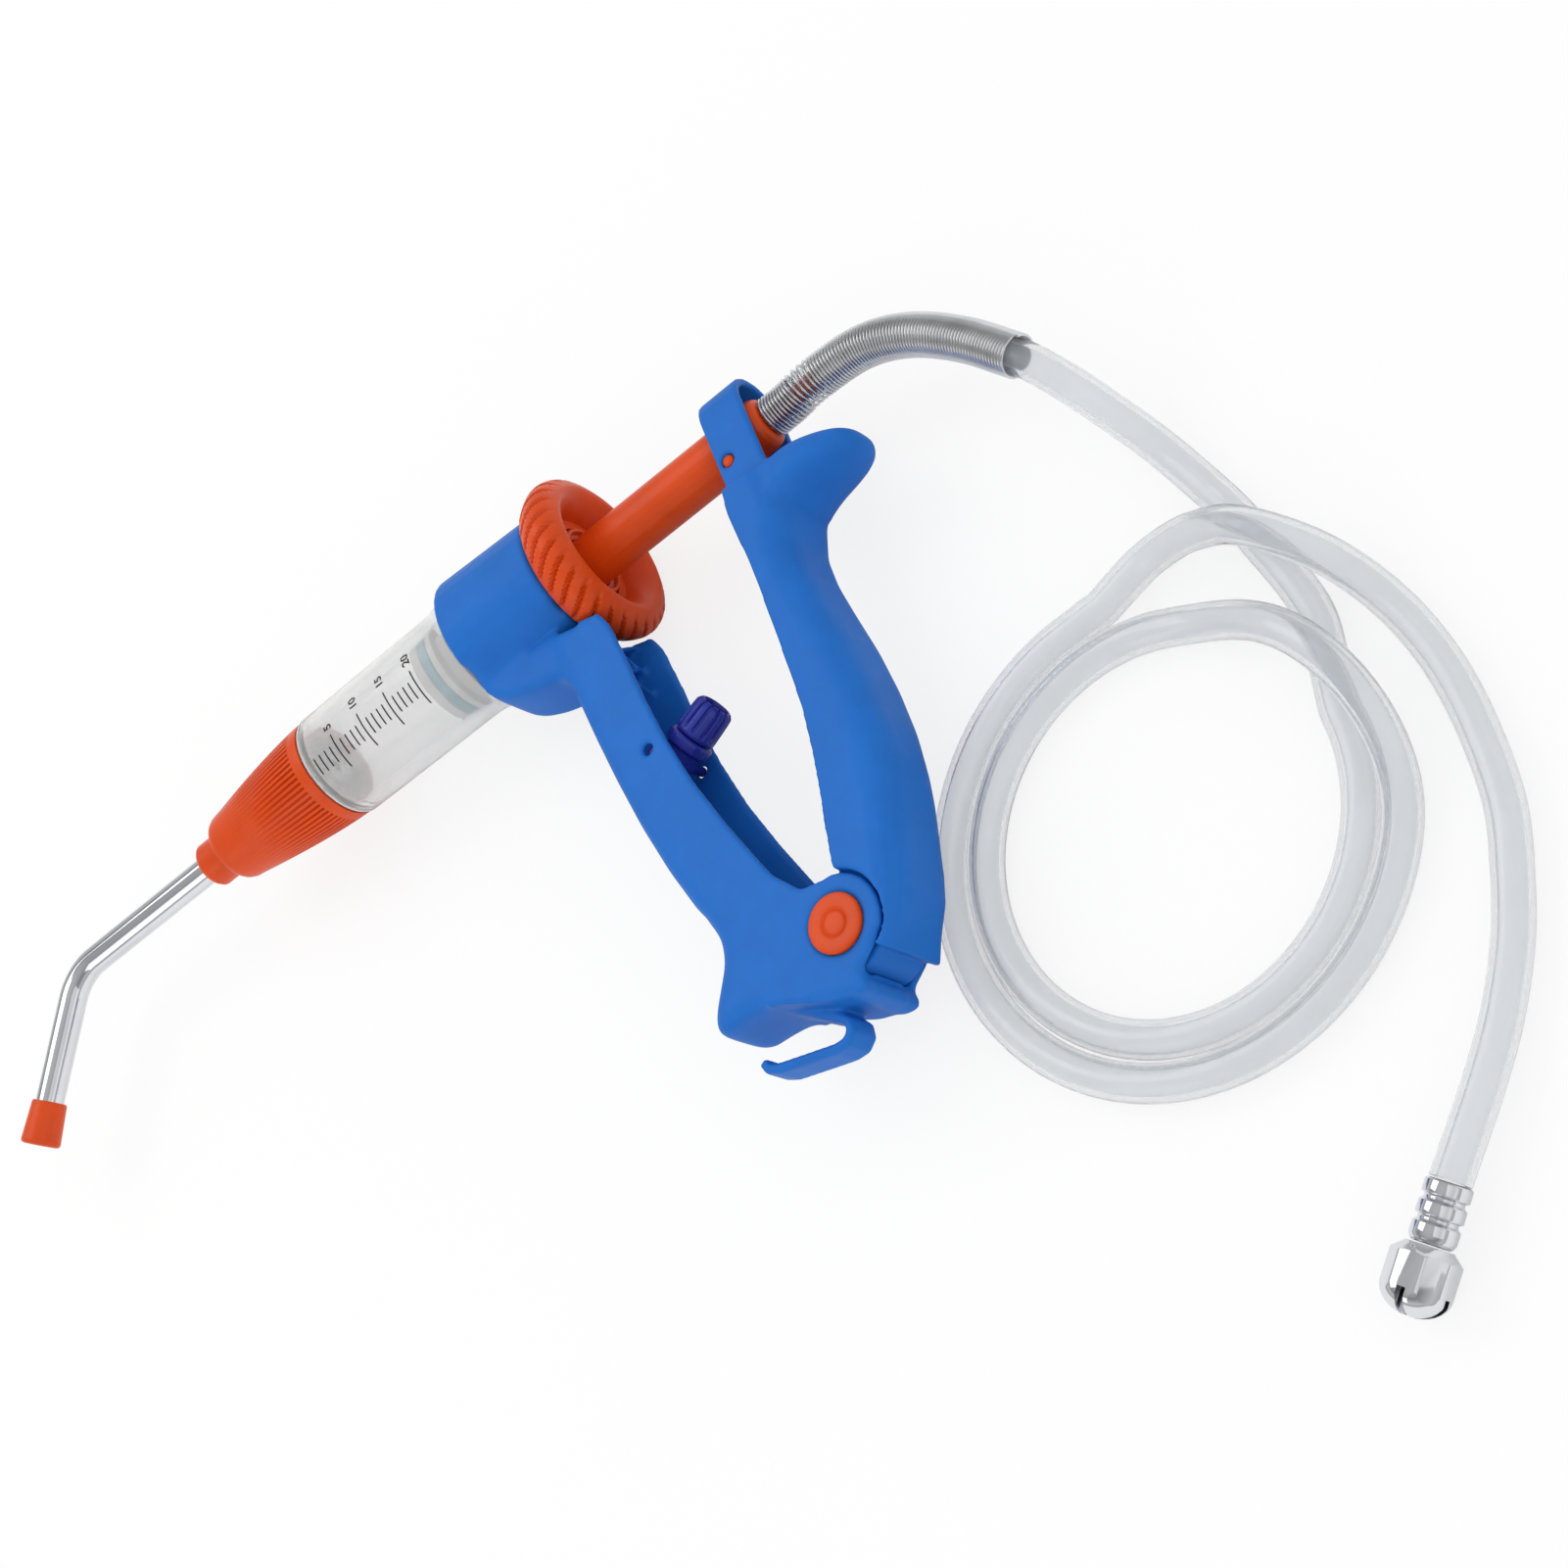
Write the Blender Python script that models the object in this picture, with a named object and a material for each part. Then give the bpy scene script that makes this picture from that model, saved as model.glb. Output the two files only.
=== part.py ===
"""Automatic veterinary syringe, 20 ml, with a drench tube and a coiled supply hose.

The syringe is built about its handle pivot: X runs along the barrel towards the
hose, Y runs from the handle's foot up to the barrel, and Z points away from the
surface that the syringe lies on. stand_on_surface() moves everything at the end,
so that the origin is under the middle of the syringe.

Run it with: blender --background --python part.py
"""

import math

import bmesh
import bpy
from mathutils import Matrix, Vector

MM = 0.001

# Clearances
GAP = 0.3 * MM  # between pieces that touch
RUNNING = 0.35 * MM  # between pieces that turn or slide on each other
SLACK = 0.25 * MM  # of the trunnion pin in its slot

# Barrel and piston, along the barrel axis
AXIS_HEIGHT = 136.1 * MM  # above the handle pivot
BORE_RADIUS = 12.6 * MM
BARREL_WALL = 2.7 * MM
BARREL_TAPER = 0.6 * MM  # how much wider the barrel is at the back
BARREL_REAR = -50.0 * MM
BARREL_LENGTH = 78.4 * MM
BARREL_END_WALL = 1.6 * MM
SPIGOT_RADIUS = 9.4 * MM
SPIGOT_LENGTH = 14.0 * MM
VALVE_CHAMBER_RADIUS = 5.2 * MM
PORT_RADIUS = 2.6 * MM
ML_LENGTH = 1000.0 / (math.pi * 12.6**2) * MM  # one millilitre of the bore
PISTON_LENGTH = 15.5 * MM
PISTON_CLEARANCE = 0.3 * MM  # each side, in the bore
PISTON_HUB_RADIUS = 9.2 * MM
SEAL_SETBACK = 2.9 * MM
SEAL_WIDTH = 3.2 * MM
SEAL_DEPTH = 2.0 * MM
SEAL_CLEARANCE = 0.12 * MM
VALVE_DISC_RADIUS = 4.3 * MM
VALVE_DISC_THICKNESS = 1.3 * MM
VALVE_LIFT = 1.5 * MM
SEAT_THICKNESS = 1.0 * MM
INLET_CHAMBER_DEPTH = 8.0 * MM
VALVE_WIRE = 0.5 * MM
VALVE_COIL_RADIUS = 3.0 * MM
VALVE_CURLS = 3

# Plunger rod
ROD_RADIUS = 7.05 * MM
ROD_BORE = 3.0 * MM
ROD_SPIGOT_RADIUS = 5.2 * MM
ROD_SPIGOT_LENGTH = 5.0 * MM
ROD_END = 28.9 * MM
KEY_FLAT_DEPTH = 1.1 * MM
KEY_FLAT_END = -20.5 * MM
LUG_HALF_WIDTH = 5.5 * MM
LUG_WALL = 2.1 * MM

# Nozzle
CONE_REAR_RADIUS = 15.0 * MM
CONE_SHOULDER_RADIUS = 9.5 * MM
CONE_LENGTH = 42.0 * MM
COLLAR_RADIUS = 6.6 * MM
COLLAR_LENGTH = 8.2 * MM
CONE_WALL = 3.2 * MM
CONE_FLUTES = 32
FLUTE_DEPTH = 0.7 * MM
TUBE_RADIUS = 4.0 * MM
TUBE_BORE = 3.0 * MM
TUBE_FLANGE_RADIUS = 7.4 * MM
TUBE_FLANGE = 2.0 * MM
WASHER_THICKNESS = 1.5 * MM
TUBE_REACH = 107.3 * MM  # from the barrel's front to the corner of the bend
TUBE_BEND_RADIUS = 15.0 * MM
TUBE_BEND_ANGLE = math.radians(54)
TUBE_LEG = 47.4 * MM
TIP_LENGTH = 12.4 * MM
TIP_REAR_RADIUS = 4.9 * MM
TIP_FRONT_RADIUS = 5.55 * MM
TIP_LIP = 2.0 * MM  # of the tip past the end of the tube

# Front handle and barrel sleeve
SLEEVE_FRONT = -71.0 * MM
SLEEVE_REAR = -39.5 * MM
SLEEVE_FRONT_RADIUS = 20.0 * MM
SLEEVE_REAR_RADIUS = 19.0 * MM
SLEEVE_STOP = 4.5 * MM  # thickness of the inner shoulder behind the barrel
FRONT_HALF_WIDTH = 11.6 * MM
FRONT_WALL = 2.0 * MM
FRONT_ROUNDING = 5.0 * MM
FINGER_WALL = 2.8 * MM
EAR_RADIUS = 12.0 * MM
EAR_WALL = 2.3 * MM
RIB_THICKNESS = 1.2 * MM
RIB_TILT = math.radians(24)
RIB_SPACING = 7.0 * MM
HOOK_HALF_WIDTH = 5.0 * MM
HOOK_THICKNESS = 2.6 * MM

# Rear handle
REAR_HALF_WIDTH = 12.6 * MM
REAR_WALL = 2.0 * MM
REAR_ROUNDING = 7.0 * MM
REAR_SHELL = 2.6 * MM
SQUEEZE = math.radians(18)
LOOP_FRONT = 15.0 * MM
LOOP_DEPTH = 12.7 * MM
LOOP_HALF_WIDTH = 10.0 * MM
LOOP_INNER = 7.8 * MM
LOOP_CROWN = 14.0 * MM  # outer crown above the barrel axis
LEDGE_DROP = 18.7 * MM  # of the ledge under the rod, below the barrel axis
LEDGE_THICKNESS = 5.4 * MM
PIN_X = 18.3 * MM
PIN_DROP = 9.9 * MM  # below the barrel axis
PIN_RADIUS = 1.6 * MM

# Pivot
AXLE_RADIUS = 3.2 * MM
AXLE_HEAD_RADIUS = 7.25 * MM
AXLE_HEAD = 1.6 * MM
AXLE_FACE = 12.3 * MM  # of the head, from the mid-plane
SPRING_SLOT = 4.4 * MM  # half width
RETURN_WIRE = 1.6 * MM
RETURN_COIL_RADIUS = 5.0 * MM
RETURN_CURLS = 3

# Dose nut
NUT_RADIUS = 23.75 * MM
NUT_LENGTH = 13.0 * MM
NUT_FLUTES = 30
NUT_GROOVE_DEPTH = 0.9 * MM
NUT_HUB_RADIUS = 15.9 * MM
NUT_HUB_LENGTH = 5.0 * MM
NUT_CREST_RADIUS = 19.1 * MM
NUT_HOLE_RADIUS = 13.0 * MM
NUT_BORE_RADIUS = 10.6 * MM
DISH_DEPTH = 7.0 * MM
DOSE_SLEEVE_RADIUS = 10.15 * MM
DOSE_SLEEVE_REAR = -33.0 * MM
DOSE_ROOM = 7.1 * MM  # from the piston to the sleeve's front, with the handles open
DOSE_TRAVEL = 5.0 * MM

# Stroke stop on the front handle
STOP_TILT = math.radians(20.5)
STOP_PEG_RADIUS = 1.3 * MM
STOP_COLLAR_RADIUS = 6.0 * MM
STOP_COLLAR_BACK = 3.0 * MM
STOP_COLLAR_FRONT = 7.3 * MM
STOP_STEM_RADIUS = 2.0 * MM
STOP_CAP_RADIUS = 5.3 * MM
STOP_CAP_LENGTH = 9.6 * MM
STOP_CAP_FLUTES = 12
STOP_TRAVEL = 6.0 * MM

# Hose
HOSE_RADIUS = 4.5 * MM
HOSE_GRIP = 0.93  # share of the hose's radius inside the spring sleeve
SLEEVE_WIRE = 0.9 * MM
SLEEVE_COIL_RADIUS = 5.2 * MM
SLEEVE_CURLS = 40
SLEEVE_CURL_POINTS = 8
COIL_CENTRE = (69.5 * MM, -11.0 * MM)
COIL_RADIUS = 47.3 * MM
COIL_STEP = 9.6 * MM  # from the first loop out to the second
COIL_TURN = math.radians(630)
COIL_STEP_START = math.radians(300)
COIL_STEP_TURN = math.radians(90)
COIL_HUMP = math.radians(346)  # where the second loop passes over the lead
COIL_HUMP_TURN = math.radians(50)
LOOP_POINTS = 24
CROSSING_RISE = 2 * HOSE_RADIUS + 1.2 * MM
STRAIGHT_END = 9.0 * MM  # of the hose where it meets the next stretch
FERRULE_RADIUS = 5.0 * MM
FERRULE_LENGTH = 13.0 * MM
SINKER_RADIUS = 7.5 * MM
SINKER_LENGTH = 14.6 * MM
SINKER_SLOT = 2.0 * MM

# Worked out from the sizes above
BARREL_RADIUS = BORE_RADIUS + BARREL_WALL
BARREL_FRONT = BARREL_REAR - BARREL_LENGTH
SPIGOT_FRONT = BARREL_FRONT - SPIGOT_LENGTH
TUBE_BEND_X = BARREL_FRONT - TUBE_REACH
PIN_Y = AXIS_HEIGHT - PIN_DROP
PIN_REACH = math.hypot(PIN_X, PIN_Y)
PIN_LEAN = math.atan2(PIN_X, PIN_Y)
STROKE = PIN_REACH * (math.sin(PIN_LEAN) + math.sin(SQUEEZE - PIN_LEAN))
PISTON_FRONT = BARREL_FRONT + BARREL_END_WALL + PISTON_CLEARANCE + STROKE
PISTON_REAR = PISTON_FRONT + PISTON_LENGTH
DRUM_RADIUS = EAR_RADIUS + 0.6 * MM
DRUM_HALF_WIDTH = FRONT_HALF_WIDTH - EAR_WALL - RUNNING
FLOOR = -NUT_RADIUS  # of the surface, below the mid-plane
HOSE_LIE = FLOOR + HOSE_RADIUS + 0.05 * MM

# Outlines in mm about the handle pivot, drawn for a barrel axis 136.1 above it and stretched to AXIS_HEIGHT
RISE = AXIS_HEIGHT / (136.1 * MM)
LEDGE_HEIGHT = AXIS_HEIGHT - LEDGE_DROP * RISE
STOP_SEAT = (-30.2, 70.2)
RIB_CENTRE = (-39.5, 105.0)

GRIP_FRONT = [  # finger side of the front handle, top to bottom, with its rear edge
    ((-47.6, 117.6), (-30.2, 112.9)),
    ((-46.6, 106.0), (-28.4, 108.0)),
    ((-45.9, 96.0), (-27.2, 95.5)),
    ((-44.9, 83.5), (-26.3, 83.0)),
    ((-43.4, 69.5), (-24.7, 69.5)),
    ((-41.3, 54.5), (-21.8, 54.5)),
    ((-38.3, 39.5), (-17.5, 39.5)),
    ((-34.8, 26.5), (-13.3, 27.0)),
    ((-32.2, 19.0), (-9.7, 17.0)),
]
FOOT = [  # the same below the channel, down to the toe
    ((-33.4, 22.5), (-11.6, 21.5)),
    ((-31.5, 15.5), (-5.5, 13.0)),
    ((-33.0, 9.5), (-1.0, 6.0)),
    ((-37.0, 4.0), (-1.0, -3.0)),
    ((-40.2, -0.6), (-1.0, -10.5)),
    ((-41.2, -3.8), (0.8, -15.0)),
    ((-40.4, -6.0), (1.0, -18.2)),
]
UNDERSIDE = [(-41.5, -6.8), (-34, -6.1), (-28, -6.5), (-22, -8.4), (-15, -12.0), (-8, -16.0), (-3, -18.0)]
FAIRING = [
    (-44.0, 118.5), (-44.5, 100.0), (-46.4, 103.0), (-48.4, 105.6), (-54.0, 106.8), (-60.0, 108.6),
    (-65.5, 111.2), (-69.6, 114.4), (-70.4, 118.5),
]
HOOK = [
    (-24.5, -5.5), (-20.0, -9.2), (-15.5, -13.0), (-11.2, -16.6), (-9.7, -18.6), (-10.1, -21.0),
    (-12.2, -22.6), (-15.4, -22.5), (-22.0, -20.8), (-31.0, -18.4), (-33.6, -17.0), (-34.2, -14.8),
]
GRIP_REAR = [  # front edge of the rear handle, top to bottom, with its back
    ((14.7, 118.0), (29.0, 118.0)),
    ((13.7, 111.0), (30.0, 110.0)),
    ((14.0, 104.0), (28.0, 104.0)),
    ((14.4, 96.5), (25.4, 97.0)),
    ((14.3, 88.0), (25.2, 88.5)),
    ((14.0, 78.5), (26.4, 78.5)),
    ((13.5, 65.5), (28.2, 65.5)),
    ((12.9, 53.0), (29.0, 53.0)),
    ((11.0, 40.5), (28.8, 40.5)),
    ((8.7, 29.5), (27.3, 29.0)),
    ((6.6, 21.5), (25.4, 20.5)),
]
HEEL = [  # the solid end of the rear handle behind the pivot
    ((7.6, 25.0), (26.4, 24.5)),
    ((5.4, 15.5), (23.8, 15.0)),
    ((4.0, 8.0), (21.4, 7.0)),
    ((4.5, 0.5), (18.6, -0.5)),
    ((6.0, -6.0), (14.6, -6.6)),
    ((7.6, -10.6), (9.4, -11.6)),
]
HORN = [  # x, bottom, top and half width of the thumb horn
    (19.0, 104.0, 117.2, 11.6),
    (25.0, 102.5, 117.2, 12.0),
    (29.5, 104.0, 121.0, 12.2),
    (34.0, 106.2, 120.9, 12.0),
    (39.0, 107.2, 119.6, 11.4),
    (44.0, 108.2, 117.9, 10.2),
    (48.0, 109.8, 116.2, 8.2),
    (50.4, 111.8, 114.6, 4.4),
]
SOFT_SQUARE = [  # height and width of the horn's section, from -1 to 1
    (0.0, 1.0), (0.55, 0.95), (0.88, 0.72), (1.0, 0.35), (1.0, -0.35), (0.88, -0.72), (0.55, -0.95),
    (0.0, -1.0), (-0.5, -0.9), (-0.86, -0.6), (-1.0, -0.22), (-1.0, 0.22), (-0.86, 0.6), (-0.5, 0.9),
]
SLEEVE_ROUTE = [
    (29.7, 136.1),
    (35.7, 136.1),
    (43.9, 136.9),
    (59.1, 135.4),
    (71.7, 129.0),
    (83.4, 117.6),
    (93.5, 103.8),
]
LEAD_ROUTE = [  # onwards from the spring sleeve: x, y and height of the hose's middle line above the surface
    (99.7, 92.7, 18.8),
    (104.0, 83.0, 11.8),
    (108.0, 73.1, 6.8),
    (112.1, 60.7, 4.6),
    (116.2, 47.1, 4.6),
    (119.0, 33.7, 4.6),
    (121.3, 21.1, 4.6),
    (121.9, 11.1, 4.6),
    (119.6, 0.4, 4.6),
]
TAIL_ROUTE = [
    (91.8, 48.5, 5.8),
    (102.5, 46.4, 9.4),
    (109.6, 43.1, 12.1),
    (117.1, 37.7, 14.9),
    (124.6, 29.6, 14.2),
    (131.3, 20.4, 9.9),
    (136.3, 9.4, 5.9),
    (139.9, -3.8, 4.6),
    (141.6, -18.4, 4.6),
    (141.0, -34.4, 4.6),
    (138.4, -50.4, 4.6),
    (133.2, -63.6, 4.6),
    (126.5, -76.5, 4.6),
    (117.5, -89.3, 5.2),
    (107.4, -100.6, 6.4),
    (93.0, -114.5, 7.6),
]


def clear_scene():
    for obj in list(bpy.data.objects):
        bpy.data.objects.remove(obj, do_unlink=True)


def material(name, colour, roughness, metallic=0.0, transmission=0.0):
    made = bpy.data.materials.new(name)
    made.use_nodes = True
    shader = made.node_tree.nodes["Principled BSDF"]
    shader.inputs["Base Color"].default_value = (*colour, 1.0)
    shader.inputs["Roughness"].default_value = roughness
    shader.inputs["Metallic"].default_value = metallic
    shader.inputs["Transmission Weight"].default_value = transmission
    made.diffuse_color = (*colour, 1.0)
    return made


def in_mm(points):
    """Points of an outline as vectors, stretched with the height of the barrel axis."""
    return [Vector((x * MM, y * MM * RISE, 0.0)) for x, y in points]


def lying(points):
    """Points of the hose as vectors, from x, y and the height above the surface."""
    return [Vector((x * MM, y * MM, FLOOR + z * MM)) for x, y, z in points]


def smooth_curve(points, per_span):
    """Points of a Catmull-Rom curve through the given ones."""
    ends = [2 * points[0] - points[1], *points, 2 * points[-1] - points[-2]]
    found = []
    for a, b, c, d in zip(ends, ends[1:], ends[2:], ends[3:]):
        for step in range(per_span):
            t = step / per_span
            square = (2 * a - 5 * b + 4 * c - d) * t * t
            cube = (3 * b - 3 * c + d - a) * t**3
            found.append(0.5 * (2 * b + (c - a) * t + square + cube))
    return [*found, points[-1].copy()]


def spaced(points, spacing):
    """The same route with a point about every spacing, both ends kept."""
    lengths = [0.0]
    for a, b in zip(points, points[1:]):
        lengths.append(lengths[-1] + (b - a).length)
    count = max(1, round(lengths[-1] / spacing))
    found = []
    at = 0
    for step in range(count + 1):
        want = lengths[-1] * step / count
        while at < len(points) - 2 and lengths[at + 1] < want:
            at += 1
        share = (want - lengths[at]) / max(lengths[at + 1] - lengths[at], 1e-9)
        found.append(points[at].lerp(points[at + 1], min(share, 1.0)))
    return found


def finish(name, bm, look, origin=(0.0, 0.0, 0.0), helper=False, angle=35):
    """An object from a bmesh in syringe coordinates, its origin moved to a joint's axis."""
    bmesh.ops.recalc_face_normals(bm, faces=bm.faces)
    bmesh.ops.translate(bm, verts=bm.verts, vec=-Vector(origin))
    mesh = bpy.data.meshes.new(name)
    bm.to_mesh(mesh)
    bm.free()
    mesh.shade_smooth()
    mesh.set_sharp_from_angle(angle=math.radians(angle))
    obj = bpy.data.objects.new(name, mesh)
    obj.location = origin
    if look:
        mesh.materials.append(look)
    if helper:
        obj.hide_render = True
        obj.display_type = "WIRE"
    bpy.context.scene.collection.objects.link(obj)
    return obj


def skin(rings, ring_closes=False):
    """A bmesh skinned over rings of equal count, capped at both ends unless the rings close on themselves."""
    bm = bmesh.new()
    loops = [[bm.verts.new(point) for point in ring] for ring in rings]
    pairs = list(zip(loops, loops[1:]))
    if ring_closes:
        pairs.append((loops[-1], loops[0]))
    for low, high in pairs:
        for i in range(len(low)):
            j = (i + 1) % len(low)
            bm.faces.new((low[i], low[j], high[j], high[i]))
    if not ring_closes:
        bm.faces.new(loops[0][::-1])
        bm.faces.new(loops[-1])
    return bm


def turned(profile, sides, centre=(0.0, AXIS_HEIGHT, 0.0), direction=(1, 0, 0), flutes=None):
    """A bmesh of a profile of (distance along the axis, radius), turned about the axis.

    A profile that starts and ends off the axis is closed on itself, as a hollow piece.
    flutes is (count, depth, first, last): the points first to last get that many grooves.
    """
    bm = bmesh.new()
    around = flutes[0] * 2 if flutes else sides
    loops = []
    for index, (along, radius) in enumerate(profile):
        if radius == 0:
            loops.append([bm.verts.new((along, 0, 0))])
            continue
        ring = []
        for step in range(around):
            cut = flutes and step % 2 == 0 and flutes[2] <= index <= flutes[3]
            reach = radius - flutes[1] if cut else radius
            turn = math.tau * step / around
            ring.append(bm.verts.new((along, reach * math.cos(turn), reach * math.sin(turn))))
        loops.append(ring)
    pairs = list(zip(loops, loops[1:]))
    if profile[0][1] and profile[-1][1]:
        pairs.append((loops[-1], loops[0]))
    for low, high in pairs:
        for i in range(around):
            j = (i + 1) % around
            corners = [low[i % len(low)], low[j % len(low)], high[j % len(high)], high[i % len(high)]]
            bm.faces.new(list(dict.fromkeys(corners)))
    turn = Vector((1, 0, 0)).rotation_difference(Vector(direction)).to_matrix().to_4x4()
    bmesh.ops.transform(bm, matrix=Matrix.Translation(centre) @ turn, verts=bm.verts)
    return bm


def slab(outline, low, high):
    """A bmesh of an outline in the X-Y plane, extruded from low to high along Z."""
    bm = bmesh.new()
    face = bm.faces.new([bm.verts.new((point[0], point[1], low)) for point in outline])
    raised = bmesh.ops.extrude_face_region(bm, geom=[face])["geom"]
    lifted = [item for item in raised if isinstance(item, bmesh.types.BMVert)]
    bmesh.ops.translate(bm, verts=lifted, vec=(0, 0, high - low))
    return bm


def slab_along_x(outline, low, high):
    """A bmesh of an outline of (z, y) points, extruded from low to high along X."""
    bm = slab(outline, low, high)
    turn = Matrix(((0, 0, 1, 0), (0, 1, 0, 0), (1, 0, 0, 0), (0, 0, 0, 1)))
    bmesh.ops.transform(bm, matrix=turn, verts=bm.verts)
    return bm


def rounded_slab(outline, half_width, rounding, segments=3):
    """A slab about the mid-plane with both rims rounded."""
    bm = slab(outline, -half_width, half_width)
    rims = [edge for edge in bm.edges if abs(edge.verts[0].co.z - edge.verts[1].co.z) < 1e-9]
    bmesh.ops.bevel(
        bm,
        geom=rims,
        offset=rounding,
        segments=segments,
        profile=0.5,
        affect="EDGES",
        clamp_overlap=True,
        material=-1,
    )
    return bm


def box(low, high):
    bm = bmesh.new()
    bmesh.ops.create_cube(bm, size=1.0)
    size = Vector(high) - Vector(low)
    bmesh.ops.scale(bm, vec=size, verts=bm.verts)
    bmesh.ops.translate(bm, vec=Vector(low) + size / 2, verts=bm.verts)
    return bm


def rod_z(radius, low, high, x=0.0, y=0.0, sides=24):
    """A bmesh of a round bar along Z."""
    return turned([(low, 0), (low, radius), (high, radius), (high, 0)], sides, (x, y, 0.0), (0, 0, 1))


def combine(obj, other, operation):
    modifier = obj.modifiers.new(f"{operation.lower()} {other.name}", "BOOLEAN")
    modifier.operation = operation
    modifier.object = other
    modifier.solver = "EXACT"


def join(obj, name, bm):
    combine(obj, finish(name, bm, None, helper=True), "UNION")


def cut(obj, name, bm):
    combine(obj, finish(name, bm, None, helper=True), "DIFFERENCE")


def frames_along(points):
    """(point, side, up) at each point of a route, carried along without twist."""
    found = []
    side = None
    for index, point in enumerate(points):
        before = points[max(index - 1, 0)]
        after = points[min(index + 1, len(points) - 1)]
        ahead = (after - before).normalized()
        if side is None:
            side = ahead.orthogonal().normalized()
        side = (side - ahead * side.dot(ahead)).normalized()
        found.append((point, side, ahead.cross(side)))
    return found


def ring_at(frame, radius, sides):
    point, side, up = frame
    return [
        point + radius * (side * math.cos(math.tau * i / sides) + up * math.sin(math.tau * i / sides))
        for i in range(sides)
    ]


def wound(route, coil_radius, curls, per_curl):
    """Points of a wire wound about a route."""
    frames = frames_along(spaced(route, (route[-1] - route[0]).length / (curls * per_curl)))
    last = len(frames) - 1
    total = curls * per_curl
    points = []
    for step in range(total + 1):
        exact = step / total * last
        low = min(int(exact), last - 1)
        share = exact - low
        a, b = frames[low], frames[low + 1]
        centre = a[0].lerp(b[0], share)
        side = a[1].lerp(b[1], share).normalized()
        up = a[2].lerp(b[2], share).normalized()
        turn = math.tau * step / per_curl
        points.append(centre + coil_radius * (side * math.cos(turn) + up * math.sin(turn)))
    return points


def tube(name, points, radius, look, resolution=2, grips=None, origin=(0.0, 0.0, 0.0)):
    """A round tube along points: a curve with a bevel and filled caps."""
    curve = bpy.data.curves.new(name, "CURVE")
    curve.dimensions = "3D"
    curve.bevel_depth = radius
    curve.bevel_resolution = resolution
    curve.use_fill_caps = True
    spline = curve.splines.new("POLY")
    spline.points.add(len(points) - 1)
    for index, point in enumerate(points):
        spline.points[index].co = (*(point - Vector(origin)), 1.0)
        if grips:
            spline.points[index].radius = grips[index]
    curve.materials.append(look)
    obj = bpy.data.objects.new(name, curve)
    obj.location = origin
    bpy.context.scene.collection.objects.link(obj)
    return obj


def least_gap(points, thickness, apart):
    """The least gap of a wound tube to itself, between points at least apart along it."""
    length = [0.0]
    for a, b in zip(points, points[1:]):
        length.append(length[-1] + (b - a).length)
    least = math.inf
    for i, a in enumerate(points):
        for j in range(i + 1, len(points) - 1):
            if length[j] - length[i] < apart:
                continue
            b, c = points[j], points[j + 1]
            share = max(0.0, min(1.0, (a - b).dot(c - b) / max((c - b).length_squared, 1e-12)))
            least = min(least, (a - b.lerp(c, share)).length)
    return least - thickness


def channel_ring(front, back, half_width, rounding, wall, floor, steps=3):
    """A U-shaped section between a rounded closed edge at front and two thin walls ending at back."""
    along = (back - front).normalized()
    across = Vector((0, 0, 1))
    depth = (back - front).length
    shape = [(depth, half_width)]
    for step in range(steps + 1):
        turn = math.radians(90) * step / steps
        shape.append((rounding * (1 - math.sin(turn)), half_width - rounding * (1 - math.cos(turn))))
    shape += [(u, -z) for u, z in reversed(shape)]
    inner = half_width - wall
    soft = min(rounding - wall, floor)
    shape += [(depth, -inner), (floor + soft, -inner), (floor, -inner + soft)]
    shape += [(floor, inner - soft), (floor + soft, inner), (depth, inner)]
    return [front + along * u + across * z for u, z in shape]


def solid_ring(front, back, half_width, rounding, steps=3):
    """A full section with the same rounded edge as channel_ring."""
    along = (back - front).normalized()
    depth = (back - front).length
    rounding = min(rounding, depth * 0.9)
    shape = [(depth, half_width)]
    for step in range(steps + 1):
        turn = math.radians(90) * step / steps
        shape.append((rounding * (1 - math.sin(turn)), half_width - rounding * (1 - math.cos(turn))))
    shape += [(u, -z) for u, z in reversed(shape)]
    return [front + along * u + Vector((0, 0, z)) for u, z in shape]


def stations(pairs):
    return [in_mm(pair) for pair in pairs]


def arc(radius, start, end, steps):
    return [
        Vector((radius * math.cos(math.radians(t)), radius * math.sin(math.radians(t)), 0.0))
        for t in (start + (end - start) * i / steps for i in range(steps + 1))
    ]


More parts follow.
